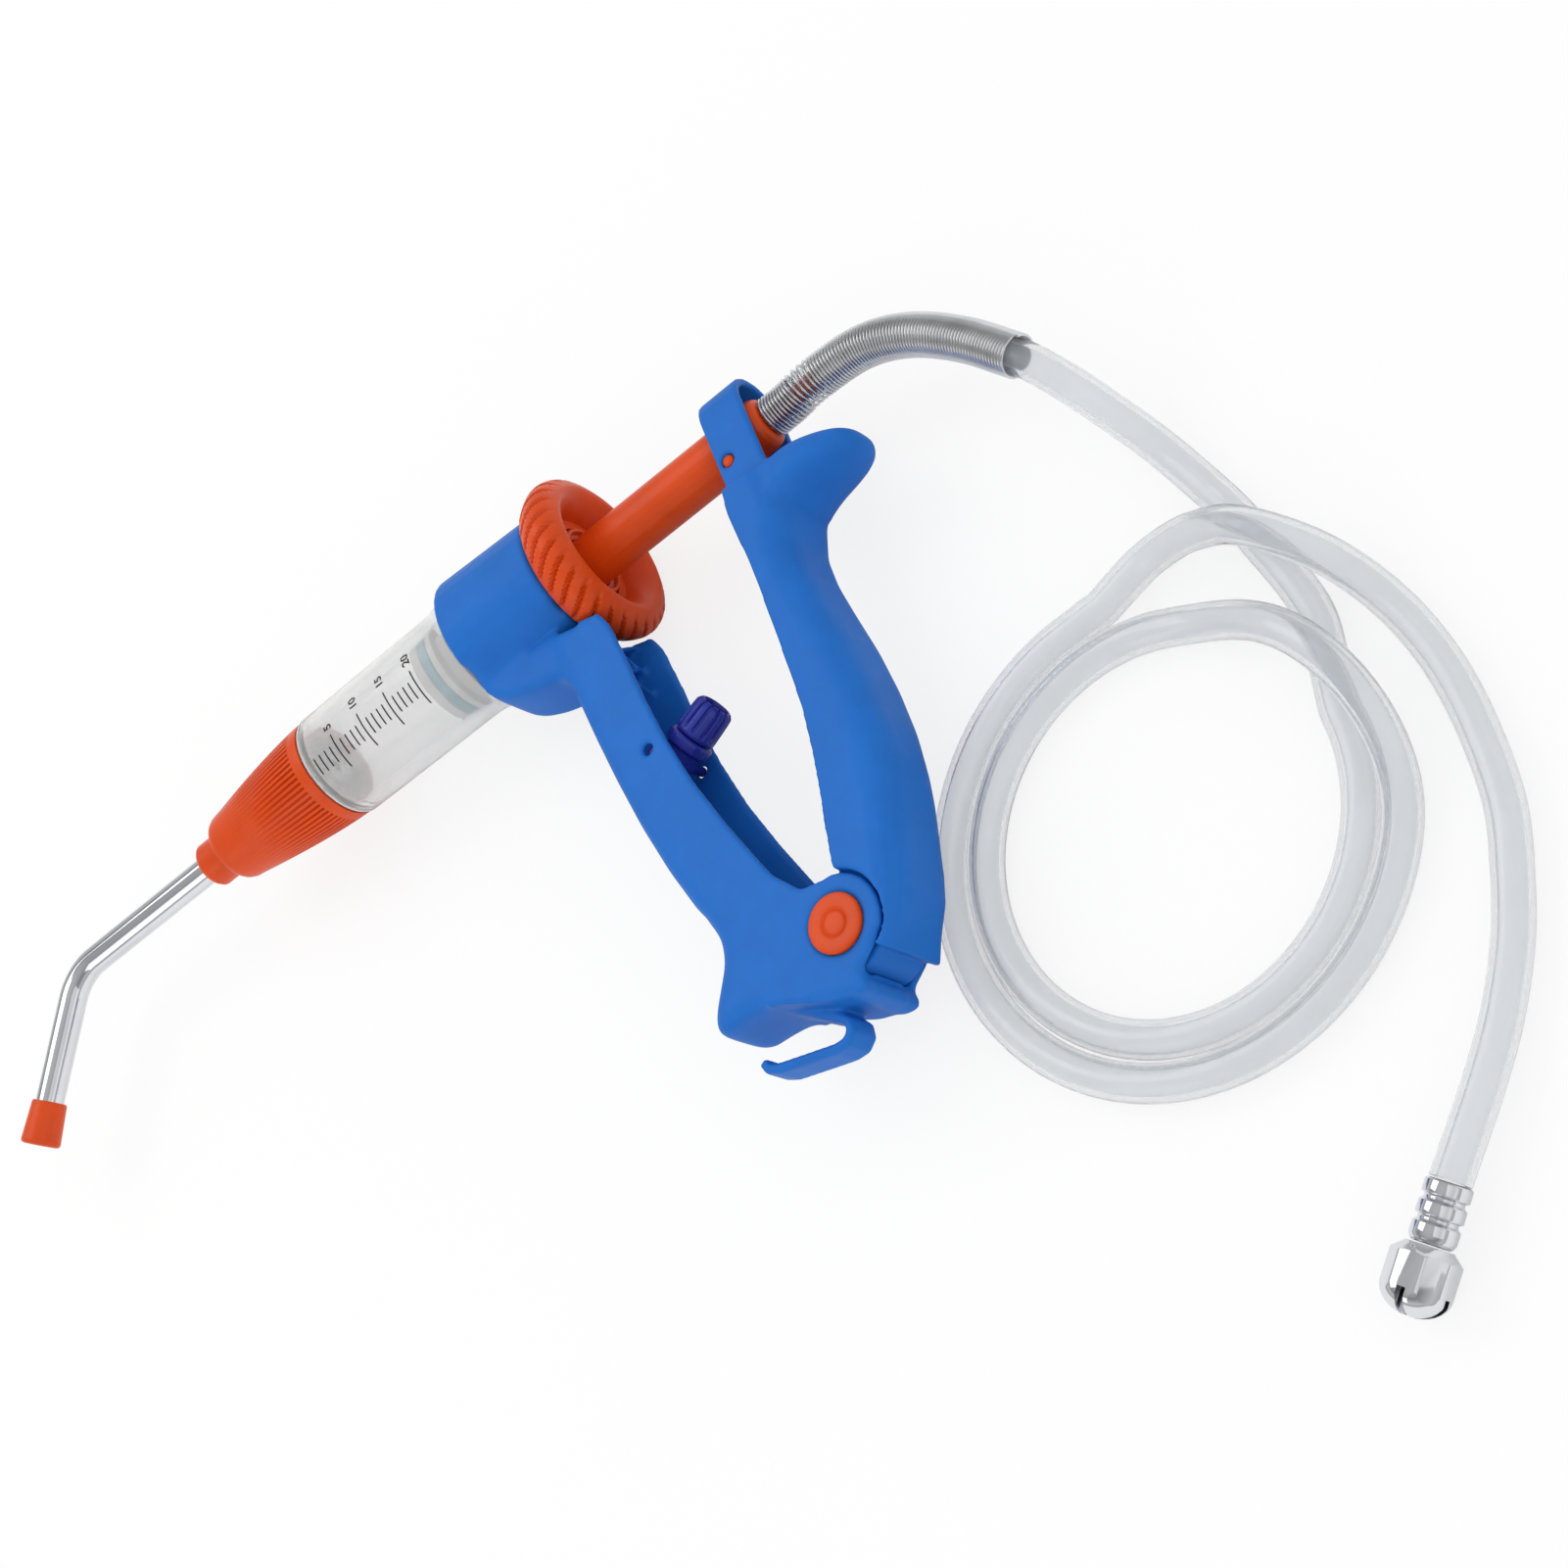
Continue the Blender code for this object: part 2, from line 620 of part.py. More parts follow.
def front_handle(look):
    """The blue moulding: barrel sleeve, channelled finger grip, foot with ears, and the hook."""
    rim = 0.8 * MM
    stop_rear = BARREL_REAR + GAP + SLEEVE_STOP
    barrel_seat = BARREL_RADIUS + BARREL_TAPER + GAP
    profile = [
        (SLEEVE_FRONT, SLEEVE_FRONT_RADIUS - rim),
        (SLEEVE_FRONT + rim, SLEEVE_FRONT_RADIUS),
        (SLEEVE_REAR - rim, SLEEVE_REAR_RADIUS),
        (SLEEVE_REAR, SLEEVE_REAR_RADIUS - rim),
        (SLEEVE_REAR, NUT_HUB_RADIUS + RUNNING),
        (stop_rear, NUT_HUB_RADIUS + RUNNING),
        (stop_rear, DOSE_SLEEVE_RADIUS + RUNNING),
        (BARREL_REAR + GAP, DOSE_SLEEVE_RADIUS + RUNNING),
        (BARREL_REAR + GAP, barrel_seat),
        (SLEEVE_FRONT, barrel_seat),
    ]
    handle = finish("front_handle", turned(profile, 32), look)

    grip = [
        channel_ring(front, back, FRONT_HALF_WIDTH, FRONT_ROUNDING, FRONT_WALL, FINGER_WALL)
        for front, back in stations(GRIP_FRONT)
    ]
    join(handle, "grip", skin(grip))

    join(handle, "fairing", rounded_slab(in_mm(FAIRING), FRONT_HALF_WIDTH - 1.6 * MM, 4.0 * MM))

    foot = [solid_ring(front, back, FRONT_HALF_WIDTH, FRONT_ROUNDING) for front, back in stations(FOOT)]
    foot_solid = finish("foot", skin(foot), None, helper=True)
    below = [*in_mm(UNDERSIDE), *in_mm([(-3, -30), (-50, -30)])]
    cut(foot_solid, "underside", slab(below, -FRONT_HALF_WIDTH * 1.2, FRONT_HALF_WIDTH * 1.2))
    combine(handle, foot_solid, "UNION")

    ear = [*in_mm([(-12.0, 20.6), (-9.2, 15.6), (-5.0, 12.9), (0.5, 11.7)]), *arc(EAR_RADIUS, 75, -60, 9)]
    ear += in_mm([(1.6, -13.2), (0.9, -14.3), (1.7, -15.2), (1.7, -16.8)])
    ear += in_mm([(0.4, -18.1), (-3.4, -17.8), (-12, -10)])
    join(handle, "ears", slab(ear, -FRONT_HALF_WIDTH + 0.02 * MM, FRONT_HALF_WIDTH - 0.02 * MM))

    rings = []
    for point, side, up in frames_along(in_mm(HOOK)):
        thick = side if abs(side.z) < 0.5 else up
        thick = Vector((thick.x, thick.y, 0)).normalized() * HOOK_THICKNESS / 2
        flat = Vector((0, 0, HOOK_HALF_WIDTH))
        narrow = Vector((0, 0, HOOK_HALF_WIDTH - 0.6 * MM))
        upper = [flat + thick / 2, narrow + thick, thick - narrow, thick / 2 - flat]
        rings.append([point + offset for offset in [*upper, *(-offset for offset in upper)]])
    join(handle, "hook", skin(rings))

    inner = FRONT_HALF_WIDTH - FRONT_WALL
    channel = in_mm([(-31.3, 26), (-28.9, 18), (-28.6, 13), (-22, 6), (-8, 2), (2, 14), (-8, 30), (-24, 34)])
    cut(handle, "foot channel", slab(channel, -inner, inner))
    for row, offset in (("lower", -RIB_SPACING / 2), ("upper", RIB_SPACING / 2)):
        join(handle, f"{row} rib rising", rib(offset, RIB_TILT))
        join(handle, f"{row} rib falling", rib(offset, -RIB_TILT))

    ear_steps = [(ear_face(), DRUM_RADIUS + RUNNING), (head_seat(), AXLE_RADIUS + GAP)]
    cut(handle, "pivot way", about_pivot(ear_steps, AXLE_HEAD_RADIUS + GAP))
    stop = in_mm([STOP_SEAT])[0]
    cut(handle, "peg holes", rod_z(STOP_PEG_RADIUS + GAP, -20 * MM, 20 * MM, stop.x, stop.y, 16))
    cut(handle, "barrel way", turned(barrel_way(), 32))
    return handle


def ear_face():
    """Half the width of the hub pocket between the ears."""
    return FRONT_HALF_WIDTH - EAR_WALL


def head_seat():
    """Distance from the mid-plane to the floor of the recess that an axle head sits in."""
    return AXLE_FACE - AXLE_HEAD - GAP


def rib(offset, tilt):
    """A bmesh of a slanting rib between the channel's side walls, offset along the grip."""
    centre = in_mm([RIB_CENTRE])[0]
    middle = centre.y + offset
    reach = FRONT_HALF_WIDTH - FRONT_WALL + 0.5 * MM
    rise = reach * math.tan(tilt)
    half = RIB_THICKNESS / 2 / math.cos(tilt)
    outline = [
        (-reach, middle - rise - half),
        (reach, middle + rise - half),
        (reach, middle + rise + half),
        (-reach, middle - rise + half),
    ]
    return slab_along_x(outline, centre.x - 5 * MM, centre.x + 5 * MM)


def about_pivot(steps, outermost):
    """A cutter turned about the pivot, alike on both sides: (half width, radius) from the middle outwards."""
    half = []
    inner = 0.0
    for width, radius in [*steps, (2 * FRONT_HALF_WIDTH, outermost)]:
        half += [(inner, radius), (width, radius)]
        inner = width
    half = [*half[1:], (inner, 0)]
    mirrored = [(-along, radius) for along, radius in reversed(half)]
    return turned([*mirrored, *half], 36, (0, 0, 0), (0, 0, 1))


def barrel_way():
    """The inside of the sleeve again, so that nothing joined to it stands in the bores."""
    stop_rear = BARREL_REAR + GAP + SLEEVE_STOP
    seat = BARREL_RADIUS + BARREL_TAPER + GAP
    return [
        (SLEEVE_FRONT - 5 * MM, 0),
        (SLEEVE_FRONT - 5 * MM, seat),
        (BARREL_REAR + GAP, seat),
        (BARREL_REAR + GAP, DOSE_SLEEVE_RADIUS + RUNNING),
        (stop_rear, DOSE_SLEEVE_RADIUS + RUNNING),
        (stop_rear, NUT_HUB_RADIUS + RUNNING),
        (SLEEVE_REAR + 1 * MM, NUT_HUB_RADIUS + RUNNING),
        (SLEEVE_REAR + 1 * MM, 0),
    ]


def nut_outside():
    """The dose nut's outer profile, front to rear."""
    front = SLEEVE_REAR + GAP
    rear = front + NUT_LENGTH
    return [
        (front, NUT_CREST_RADIUS),
        (front + 1.8 * MM, NUT_CREST_RADIUS + 2.4 * MM),
        (front + 7.4 * MM, NUT_RADIUS),
        (rear - 2.2 * MM, NUT_RADIUS - 1.2 * MM),
        (rear, NUT_CREST_RADIUS),
    ]


def rear_handle(look):
    """The second blue moulding: channelled palm grip, hub drum, thumb horn and the loop over the rod."""
    inner = REAR_HALF_WIDTH - REAR_WALL
    grip = [
        channel_ring(back, front, REAR_HALF_WIDTH, REAR_ROUNDING, REAR_WALL, REAR_SHELL)
        for front, back in stations(GRIP_REAR)
    ]
    handle = finish("rear_handle", skin(grip), look)

    heel = [solid_ring(back, front, REAR_HALF_WIDTH, REAR_ROUNDING) for front, back in stations(HEEL)]
    join(handle, "heel", skin(heel))
    join(handle, "drum", rod_z(DRUM_RADIUS, -FRONT_HALF_WIDTH + 1 * MM, FRONT_HALF_WIDTH - 1 * MM, sides=36))
    cut(handle, "ear way", about_pivot([(DRUM_HALF_WIDTH, AXLE_RADIUS + RUNNING)], EAR_RADIUS + 2 * RUNNING))

    horn = []
    for x, bottom, top, half in HORN:
        low, high = in_mm([(x, bottom), (x, top)])
        middle, rise = (low + high) / 2, (high - low) / 2
        horn.append([middle + rise * v + Vector((0, 0, half * w * MM)) for v, w in SOFT_SQUARE])
    join(handle, "horn", skin(horn))

    side = inner + 1 * MM
    low = (LOOP_FRONT + 0.4 * MM, LEDGE_HEIGHT - LEDGE_THICKNESS, -side)
    high = (LOOP_FRONT + LOOP_DEPTH + 1.1 * MM, LEDGE_HEIGHT + 0.4 * MM, side)
    join(handle, "ledge", box(low, high))

    outer = loop_outline(LOOP_HALF_WIDTH, LOOP_CROWN, 10)
    inside = loop_outline(LOOP_INNER, LOOP_CROWN - (LOOP_HALF_WIDTH - LOOP_INNER), 10)
    loop_rear = LOOP_FRONT + LOOP_DEPTH
    join(handle, "loop", across(outer, LOOP_FRONT, loop_rear, LEDGE_HEIGHT - 3.9 * MM))
    cut(handle, "loop opening", across(inside, LOOP_FRONT - 2 * MM, loop_rear + 0.7 * MM, LEDGE_HEIGHT))

    slot = in_mm([(-14, -6.6), (6.6, -6.6), (8.5, 6), (12, 26), (4, 26), (-14, 14)])
    cut(handle, "spring slot", slab(slot, -SPRING_SLOT, SPRING_SLOT))
    cut(handle, "pin holes", rod_z(PIN_RADIUS + GAP, -20 * MM, 20 * MM, PIN_X, PIN_Y, 16))
    return handle


def loop_outline(half_width, crown, steps):
    """(z, y) of an arch over the barrel axis, from its left foot to its right one."""
    spring = AXIS_HEIGHT + crown - half_width
    bend = [math.pi * i / steps for i in range(steps + 1)]
    return [(-half_width * math.cos(t), spring + half_width * math.sin(t)) for t in bend]


def across(arch, low, high, foot):
    """A bmesh of an arch over the rod, with its feet at the given height, extruded along X."""
    return slab_along_x([(arch[0][0], foot), *arch, (arch[-1][0], foot)], low, high)


def barrel(look):
    """The clear barrel with its end wall, and the spigot that the nose cone screws on to."""
    wall = BARREL_FRONT + BARREL_END_WALL
    profile = [
        (SPIGOT_FRONT, SPIGOT_RADIUS),
        (BARREL_FRONT, SPIGOT_RADIUS),
        (BARREL_FRONT, BARREL_RADIUS - 0.8 * MM),
        (BARREL_FRONT + 0.8 * MM, BARREL_RADIUS),
        (BARREL_REAR, BARREL_RADIUS + BARREL_TAPER),
        (BARREL_REAR, BORE_RADIUS),
        (wall, BORE_RADIUS),
        (wall, PORT_RADIUS),
        (BARREL_FRONT, PORT_RADIUS),
        (BARREL_FRONT, VALVE_CHAMBER_RADIUS),
        (SPIGOT_FRONT, VALVE_CHAMBER_RADIUS),
    ]
    return finish("barrel", turned(profile, 32), look)


def nose_cone(look):
    """The orange cone: a fluted nut that holds the drench tube against the barrel."""
    rear = BARREL_FRONT - GAP
    shoulder = rear - CONE_LENGTH
    front = shoulder - COLLAR_LENGTH
    fall = CONE_REAR_RADIUS - CONE_SHOULDER_RADIUS
    shape = [(rear, 0)]
    for share in (0.0, 0.08, 0.1, 0.28, 0.48, 0.62, 0.82, 0.97):
        shape.append((rear - CONE_LENGTH * share, CONE_REAR_RADIUS - fall * share**1.25))
    shape += [(shoulder, CONE_SHOULDER_RADIUS - 0.9 * MM), (shoulder, 0)]
    cone = finish("nose_cone", turned(shape, 0, flutes=(CONE_FLUTES, FLUTE_DEPTH, 3, 5)), look)
    collar = [
        (shoulder + 1 * MM, 0),
        (shoulder + 1 * MM, COLLAR_RADIUS + 0.7 * MM),
        (shoulder - 1.4 * MM, COLLAR_RADIUS),
        (front + 0.8 * MM, COLLAR_RADIUS),
        (front, COLLAR_RADIUS - 0.8 * MM),
        (front, 0),
    ]
    join(cone, "cone collar", turned(collar, 28))
    flange_front = tube_flange_rear() - TUBE_FLANGE - GAP
    cavity = [
        (rear + 1 * MM, 0),
        (rear + 1 * MM, SPIGOT_RADIUS + GAP),
        (SPIGOT_FRONT - GAP, SPIGOT_RADIUS + GAP),
        (SPIGOT_FRONT - GAP, TUBE_FLANGE_RADIUS + GAP),
        (flange_front, TUBE_FLANGE_RADIUS + GAP),
        (flange_front, TUBE_FLANGE_RADIUS - 1 * MM),
        (shoulder + CONE_WALL, TUBE_RADIUS + GAP),
        (front - 1 * MM, TUBE_RADIUS + GAP),
        (front - 1 * MM, 0),
    ]
    cut(cone, "cone cavity", turned(cavity, 28))
    return cone


def tube_flange_rear():
    return SPIGOT_FRONT - GAP - WASHER_THICKNESS - GAP


def ring_piece(name, rear, length, outer, inner, look, sides=20):
    """A plain ring on the barrel axis, its rear face at rear."""
    profile = [(rear - length, outer), (rear, outer), (rear, inner), (rear - length, inner)]
    return finish(name, turned(profile, sides), look)


def valve_disc(name, rear, look, chamber):
    """A mushroom valve: a disc on its seat, its stem in the port behind it."""
    edge = VALVE_DISC_RADIUS
    stem = 1.2 * MM
    profile = [
        (rear - VALVE_DISC_THICKNESS - 1.0 * MM, 0),
        (rear - VALVE_DISC_THICKNESS - 1.0 * MM, stem),
        (rear - VALVE_DISC_THICKNESS, stem + 0.4 * MM),
        (rear - VALVE_DISC_THICKNESS, edge - 0.3 * MM),
        (rear - 0.4 * MM, edge),
        (rear, edge - 0.6 * MM),
        (rear, stem),
        (rear + chamber, stem * 0.7),
        (rear + chamber, 0),
    ]
    return finish(name, turned(profile, 16), look, origin=(rear, AXIS_HEIGHT, 0.0))


def valve_spring(name, rear, front, look):
    route = [Vector((rear - VALVE_WIRE, AXIS_HEIGHT, 0)), Vector((front + VALVE_WIRE, AXIS_HEIGHT, 0))]
    points = wound(route, VALVE_COIL_RADIUS, VALVE_CURLS, 8)
    return tube(name, points, VALVE_WIRE / 2, look, resolution=1)


def outlet(looks):
    """Seat, disc, spring and washer in the spigot, in the order in which the liquid passes them."""
    seat_rear = BARREL_FRONT - GAP
    disc_rear = seat_rear - SEAT_THICKNESS - GAP
    disc_front = disc_rear - VALVE_DISC_THICKNESS
    seat_radius = VALVE_CHAMBER_RADIUS - GAP
    ring_piece("outlet_seat", seat_rear, SEAT_THICKNESS, seat_radius, PORT_RADIUS, looks["rubber"])
    valve_disc("outlet_valve", disc_rear, looks["rubber"], SEAT_THICKNESS)
    washer_rear = SPIGOT_FRONT - GAP
    valve_spring("outlet_spring", disc_front - GAP, washer_rear + GAP, looks["steel"])
    ring_piece("nozzle_washer", washer_rear, WASHER_THICKNESS, TUBE_FLANGE_RADIUS, 2.2 * MM, looks["rubber"])


def drench_tube(looks):
    """The bent steel tube with its flange, and the soft tip on its end."""
    start = tube_flange_rear()
    corner = Vector((TUBE_BEND_X, AXIS_HEIGHT, 0))
    setback = TUBE_BEND_RADIUS * math.tan(TUBE_BEND_ANGLE / 2)
    down = Vector((-math.cos(TUBE_BEND_ANGLE), -math.sin(TUBE_BEND_ANGLE), 0))
    centre = corner + Vector((setback, -TUBE_BEND_RADIUS, 0))
    path = [Vector((start, AXIS_HEIGHT, 0)), Vector((start - TUBE_FLANGE, AXIS_HEIGHT, 0))]
    path.append(Vector((start - TUBE_FLANGE - 1 * MM, AXIS_HEIGHT, 0)))
    steps = 8
    for step in range(steps + 1):
        turn = TUBE_BEND_ANGLE * step / steps
        path.append(centre + TUBE_BEND_RADIUS * Vector((-math.sin(turn), math.cos(turn), 0)))
    end = corner + down * TUBE_LEG
    path.append(end)
    frames = frames_along(path)
    outside = [ring_at(frames[0], TUBE_FLANGE_RADIUS, 14), ring_at(frames[1], TUBE_FLANGE_RADIUS, 14)]
    outside += [ring_at((path[1], *frames[1][1:]), TUBE_RADIUS, 14)]
    outside += [ring_at(frame, TUBE_RADIUS, 14) for frame in frames[2:]]
    inside = [ring_at(frame, TUBE_BORE, 14) for frame in reversed(frames)]
    finish("drench_tube", skin([*outside, *inside], ring_closes=True), looks["chrome"])

    back = -(TIP_LENGTH - TIP_LIP)
    profile = [
        (back, TIP_REAR_RADIUS - 0.5 * MM),
        (back + 0.5 * MM, TIP_REAR_RADIUS),
        (TIP_LIP - 1.6 * MM, TIP_FRONT_RADIUS),
        (TIP_LIP - 0.5 * MM, TIP_FRONT_RADIUS),
        (TIP_LIP, TIP_FRONT_RADIUS - 1.0 * MM),
        (TIP_LIP, TUBE_BORE - 0.4 * MM),
        (GAP, TUBE_BORE - 0.4 * MM),
        (GAP, TUBE_RADIUS + GAP),
        (back, TUBE_RADIUS + GAP),
    ]
    finish("tube_tip", turned(profile, 20, end, down), looks["orange"])


def plunger(looks):
    """The hollow rod with its lug, the piston, its seal and the inlet valve inside it."""
    spigot = PISTON_REAR - ROD_SPIGOT_LENGTH
    profile = [
        (spigot, ROD_BORE),
        (spigot, ROD_SPIGOT_RADIUS),
        (PISTON_REAR + GAP, ROD_SPIGOT_RADIUS),
        (PISTON_REAR + GAP, ROD_RADIUS),
        (ROD_END - 2.2 * MM, ROD_RADIUS),
        (ROD_END - 0.8 * MM, ROD_RADIUS - 0.6 * MM),
        (ROD_END, ROD_RADIUS - 1.7 * MM),
        (ROD_END, ROD_BORE),
    ]
    rod = finish("plunger_rod", turned(profile, 24), looks["orange"])
    slot_low = PIN_Y - (PIN_REACH * (math.cos(PIN_LEAN) - math.cos(SQUEEZE - PIN_LEAN))) - PIN_RADIUS - SLACK
    slot_high = PIN_REACH + PIN_RADIUS + SLACK
    side = PIN_RADIUS + SLACK + 0.05 * MM
    low, high = PIN_X - side - LUG_WALL, PIN_X + side + LUG_WALL
    lug_foot = slot_low - LUG_WALL
    lug_top = AXIS_HEIGHT - ROD_BORE - 1.2 * MM
    lug = [(low, lug_top), (low, lug_foot + 1 * MM), (low + 1 * MM, lug_foot), (high - 1 * MM, lug_foot)]
    lug += [(high, lug_foot + 1 * MM), (high, lug_top)]
    join(rod, "lug", slab(lug, -LUG_HALF_WIDTH, LUG_HALF_WIDTH))
    slot = box((PIN_X - side, slot_low, -20 * MM), (PIN_X + side, slot_high, 20 * MM))
    cut(rod, "pin slot", slot)
    flat = AXIS_HEIGHT + ROD_RADIUS - KEY_FLAT_DEPTH
    key_room = box((PISTON_REAR + GAP / 2, flat, -20 * MM), (KEY_FLAT_END, flat + 20 * MM, 20 * MM))
    cut(rod, "key flat", key_room)

    outer = BORE_RADIUS - PISTON_CLEARANCE
    groove_front = PISTON_FRONT + SEAL_SETBACK
    groove_rear = groove_front + SEAL_WIDTH
    chamber = PISTON_FRONT + INLET_CHAMBER_DEPTH
    spigot_room = spigot - GAP
    profile = [
        (PISTON_FRONT, outer),
        (groove_front, outer),
        (groove_front, outer - SEAL_DEPTH),
        (groove_rear, outer - SEAL_DEPTH),
        (groove_rear, outer),
        (groove_rear + 2.2 * MM, outer),
        (groove_rear + 2.2 * MM, PISTON_HUB_RADIUS),
        (PISTON_REAR, PISTON_HUB_RADIUS),
        (PISTON_REAR, ROD_SPIGOT_RADIUS + GAP),
        (spigot_room, ROD_SPIGOT_RADIUS + GAP),
        (spigot_room, PORT_RADIUS),
        (chamber, PORT_RADIUS),
        (chamber, VALVE_CHAMBER_RADIUS),
        (PISTON_FRONT, VALVE_CHAMBER_RADIUS),
    ]
    finish("piston", turned(profile, 24), looks["grey"])
    width = SEAL_WIDTH - 2 * GAP
    inner = outer - SEAL_DEPTH + GAP
    ring_piece("piston_seal", groove_rear - GAP, width, BORE_RADIUS - SEAL_CLEARANCE, inner, looks["seal"], 28)
    disc_rear = chamber - GAP
    valve_disc("inlet_valve", disc_rear, looks["rubber"], SEAT_THICKNESS)
    cage_rear = PISTON_FRONT + 1.4 * MM
    valve_spring("inlet_spring", disc_rear - VALVE_DISC_THICKNESS - GAP, cage_rear + GAP, looks["steel"])
    ring_piece("inlet_cage", cage_rear, 1.2 * MM, VALVE_CHAMBER_RADIUS - GAP, 2.2 * MM, looks["grey"])


def dose_parts(looks):
    """The grooved wheel and the threaded sleeve inside it that stops the piston."""
    outside = nut_outside()
    front, rear = outside[0][0], outside[-1][0]
    hub_front = front - NUT_HUB_LENGTH
    floor = rear - DISH_DEPTH
    profile = [
        (hub_front, NUT_HUB_RADIUS),
        (front, NUT_HUB_RADIUS),
        *outside,
        (rear - 0.5 * MM, NUT_CREST_RADIUS - 1.6 * MM),
        (rear - 2.6 * MM, NUT_HOLE_RADIUS + 2.0 * MM),
        (floor, NUT_HOLE_RADIUS),
        (floor, NUT_BORE_RADIUS),
        (hub_front, NUT_BORE_RADIUS),
    ]
    nut = turned(profile, 0, flutes=(NUT_FLUTES, NUT_GROOVE_DEPTH, 3, 5))
    finish("dose_nut", nut, looks["orange"], origin=(floor, AXIS_HEIGHT, 0.0))
    front = PISTON_REAR + DOSE_ROOM
    profile = [
        (front, DOSE_SLEEVE_RADIUS),
        (DOSE_SLEEVE_REAR - 0.4 * MM, DOSE_SLEEVE_RADIUS),
        (DOSE_SLEEVE_REAR, DOSE_SLEEVE_RADIUS - 0.4 * MM),
        (DOSE_SLEEVE_REAR, ROD_RADIUS + RUNNING),
        (front, ROD_RADIUS + RUNNING),
    ]
    finish("dose_sleeve", turned(profile, 24), looks["orange"], origin=(front, AXIS_HEIGHT, 0.0))


def pivot(looks):
    """The axle with its pressed-on heads, and the torsion spring that opens the handles."""
    seat = AXLE_FACE - AXLE_HEAD
    button = 2.7 * MM
    shaft_end = -(seat - 0.4 * MM)
    profile = [
        (shaft_end, 0),
        (shaft_end, AXLE_RADIUS),
        (seat, AXLE_RADIUS),
        (seat, AXLE_HEAD_RADIUS),
        (AXLE_FACE - 0.4 * MM, AXLE_HEAD_RADIUS),
        (AXLE_FACE, AXLE_HEAD_RADIUS - 0.5 * MM),
        (AXLE_FACE, button + 0.8 * MM),
        (AXLE_FACE - 0.5 * MM, button + 0.4 * MM),
        (AXLE_FACE - 0.1 * MM, button),
        (AXLE_FACE - 0.1 * MM, 0),
    ]
    finish("pivot_axle", turned(profile, 24, (0, 0, 0), (0, 0, 1)), looks["orange"])
    boss = AXLE_RADIUS
    profile = [
        (seat, 0),
        (seat, AXLE_HEAD_RADIUS),
        (AXLE_FACE - 0.4 * MM, AXLE_HEAD_RADIUS),
        (AXLE_FACE, AXLE_HEAD_RADIUS - 0.5 * MM),
        (AXLE_FACE, boss),
        (AXLE_FACE - 0.6 * MM, boss - 0.6 * MM),
        (AXLE_FACE - 0.6 * MM, 0),
    ]
    finish("axle_cap", turned(profile, 24, (0, 0, 0), (0, 0, -1)), looks["orange"])

    reach = RETURN_CURLS * (RETURN_WIRE + 0.5 * MM) / 2
    points = wound([Vector((0, 0, -reach)), Vector((0, 0, reach))], RETURN_COIL_RADIUS, RETURN_CURLS, 10)
    first, last = points[0], points[-1]
    front_leg = Vector((-25.5 * MM, 19.0 * MM, first.z))
    rear_leg = Vector((8.4 * MM, 21.0 * MM, last.z))
    points = [front_leg, front_leg.lerp(first, 0.5), *points, last.lerp(rear_leg, 0.5), rear_leg]
    tube("return_spring", points, RETURN_WIRE / 2, looks["steel"], resolution=1)

    finish(
        "trunnion_pin",
        rod_z(PIN_RADIUS, -LOOP_HALF_WIDTH + 0.1 * MM, LOOP_HALF_WIDTH - 0.1 * MM, PIN_X, PIN_Y, 20),
        looks["orange"],
        origin=(PIN_X, PIN_Y, 0.0),
    )


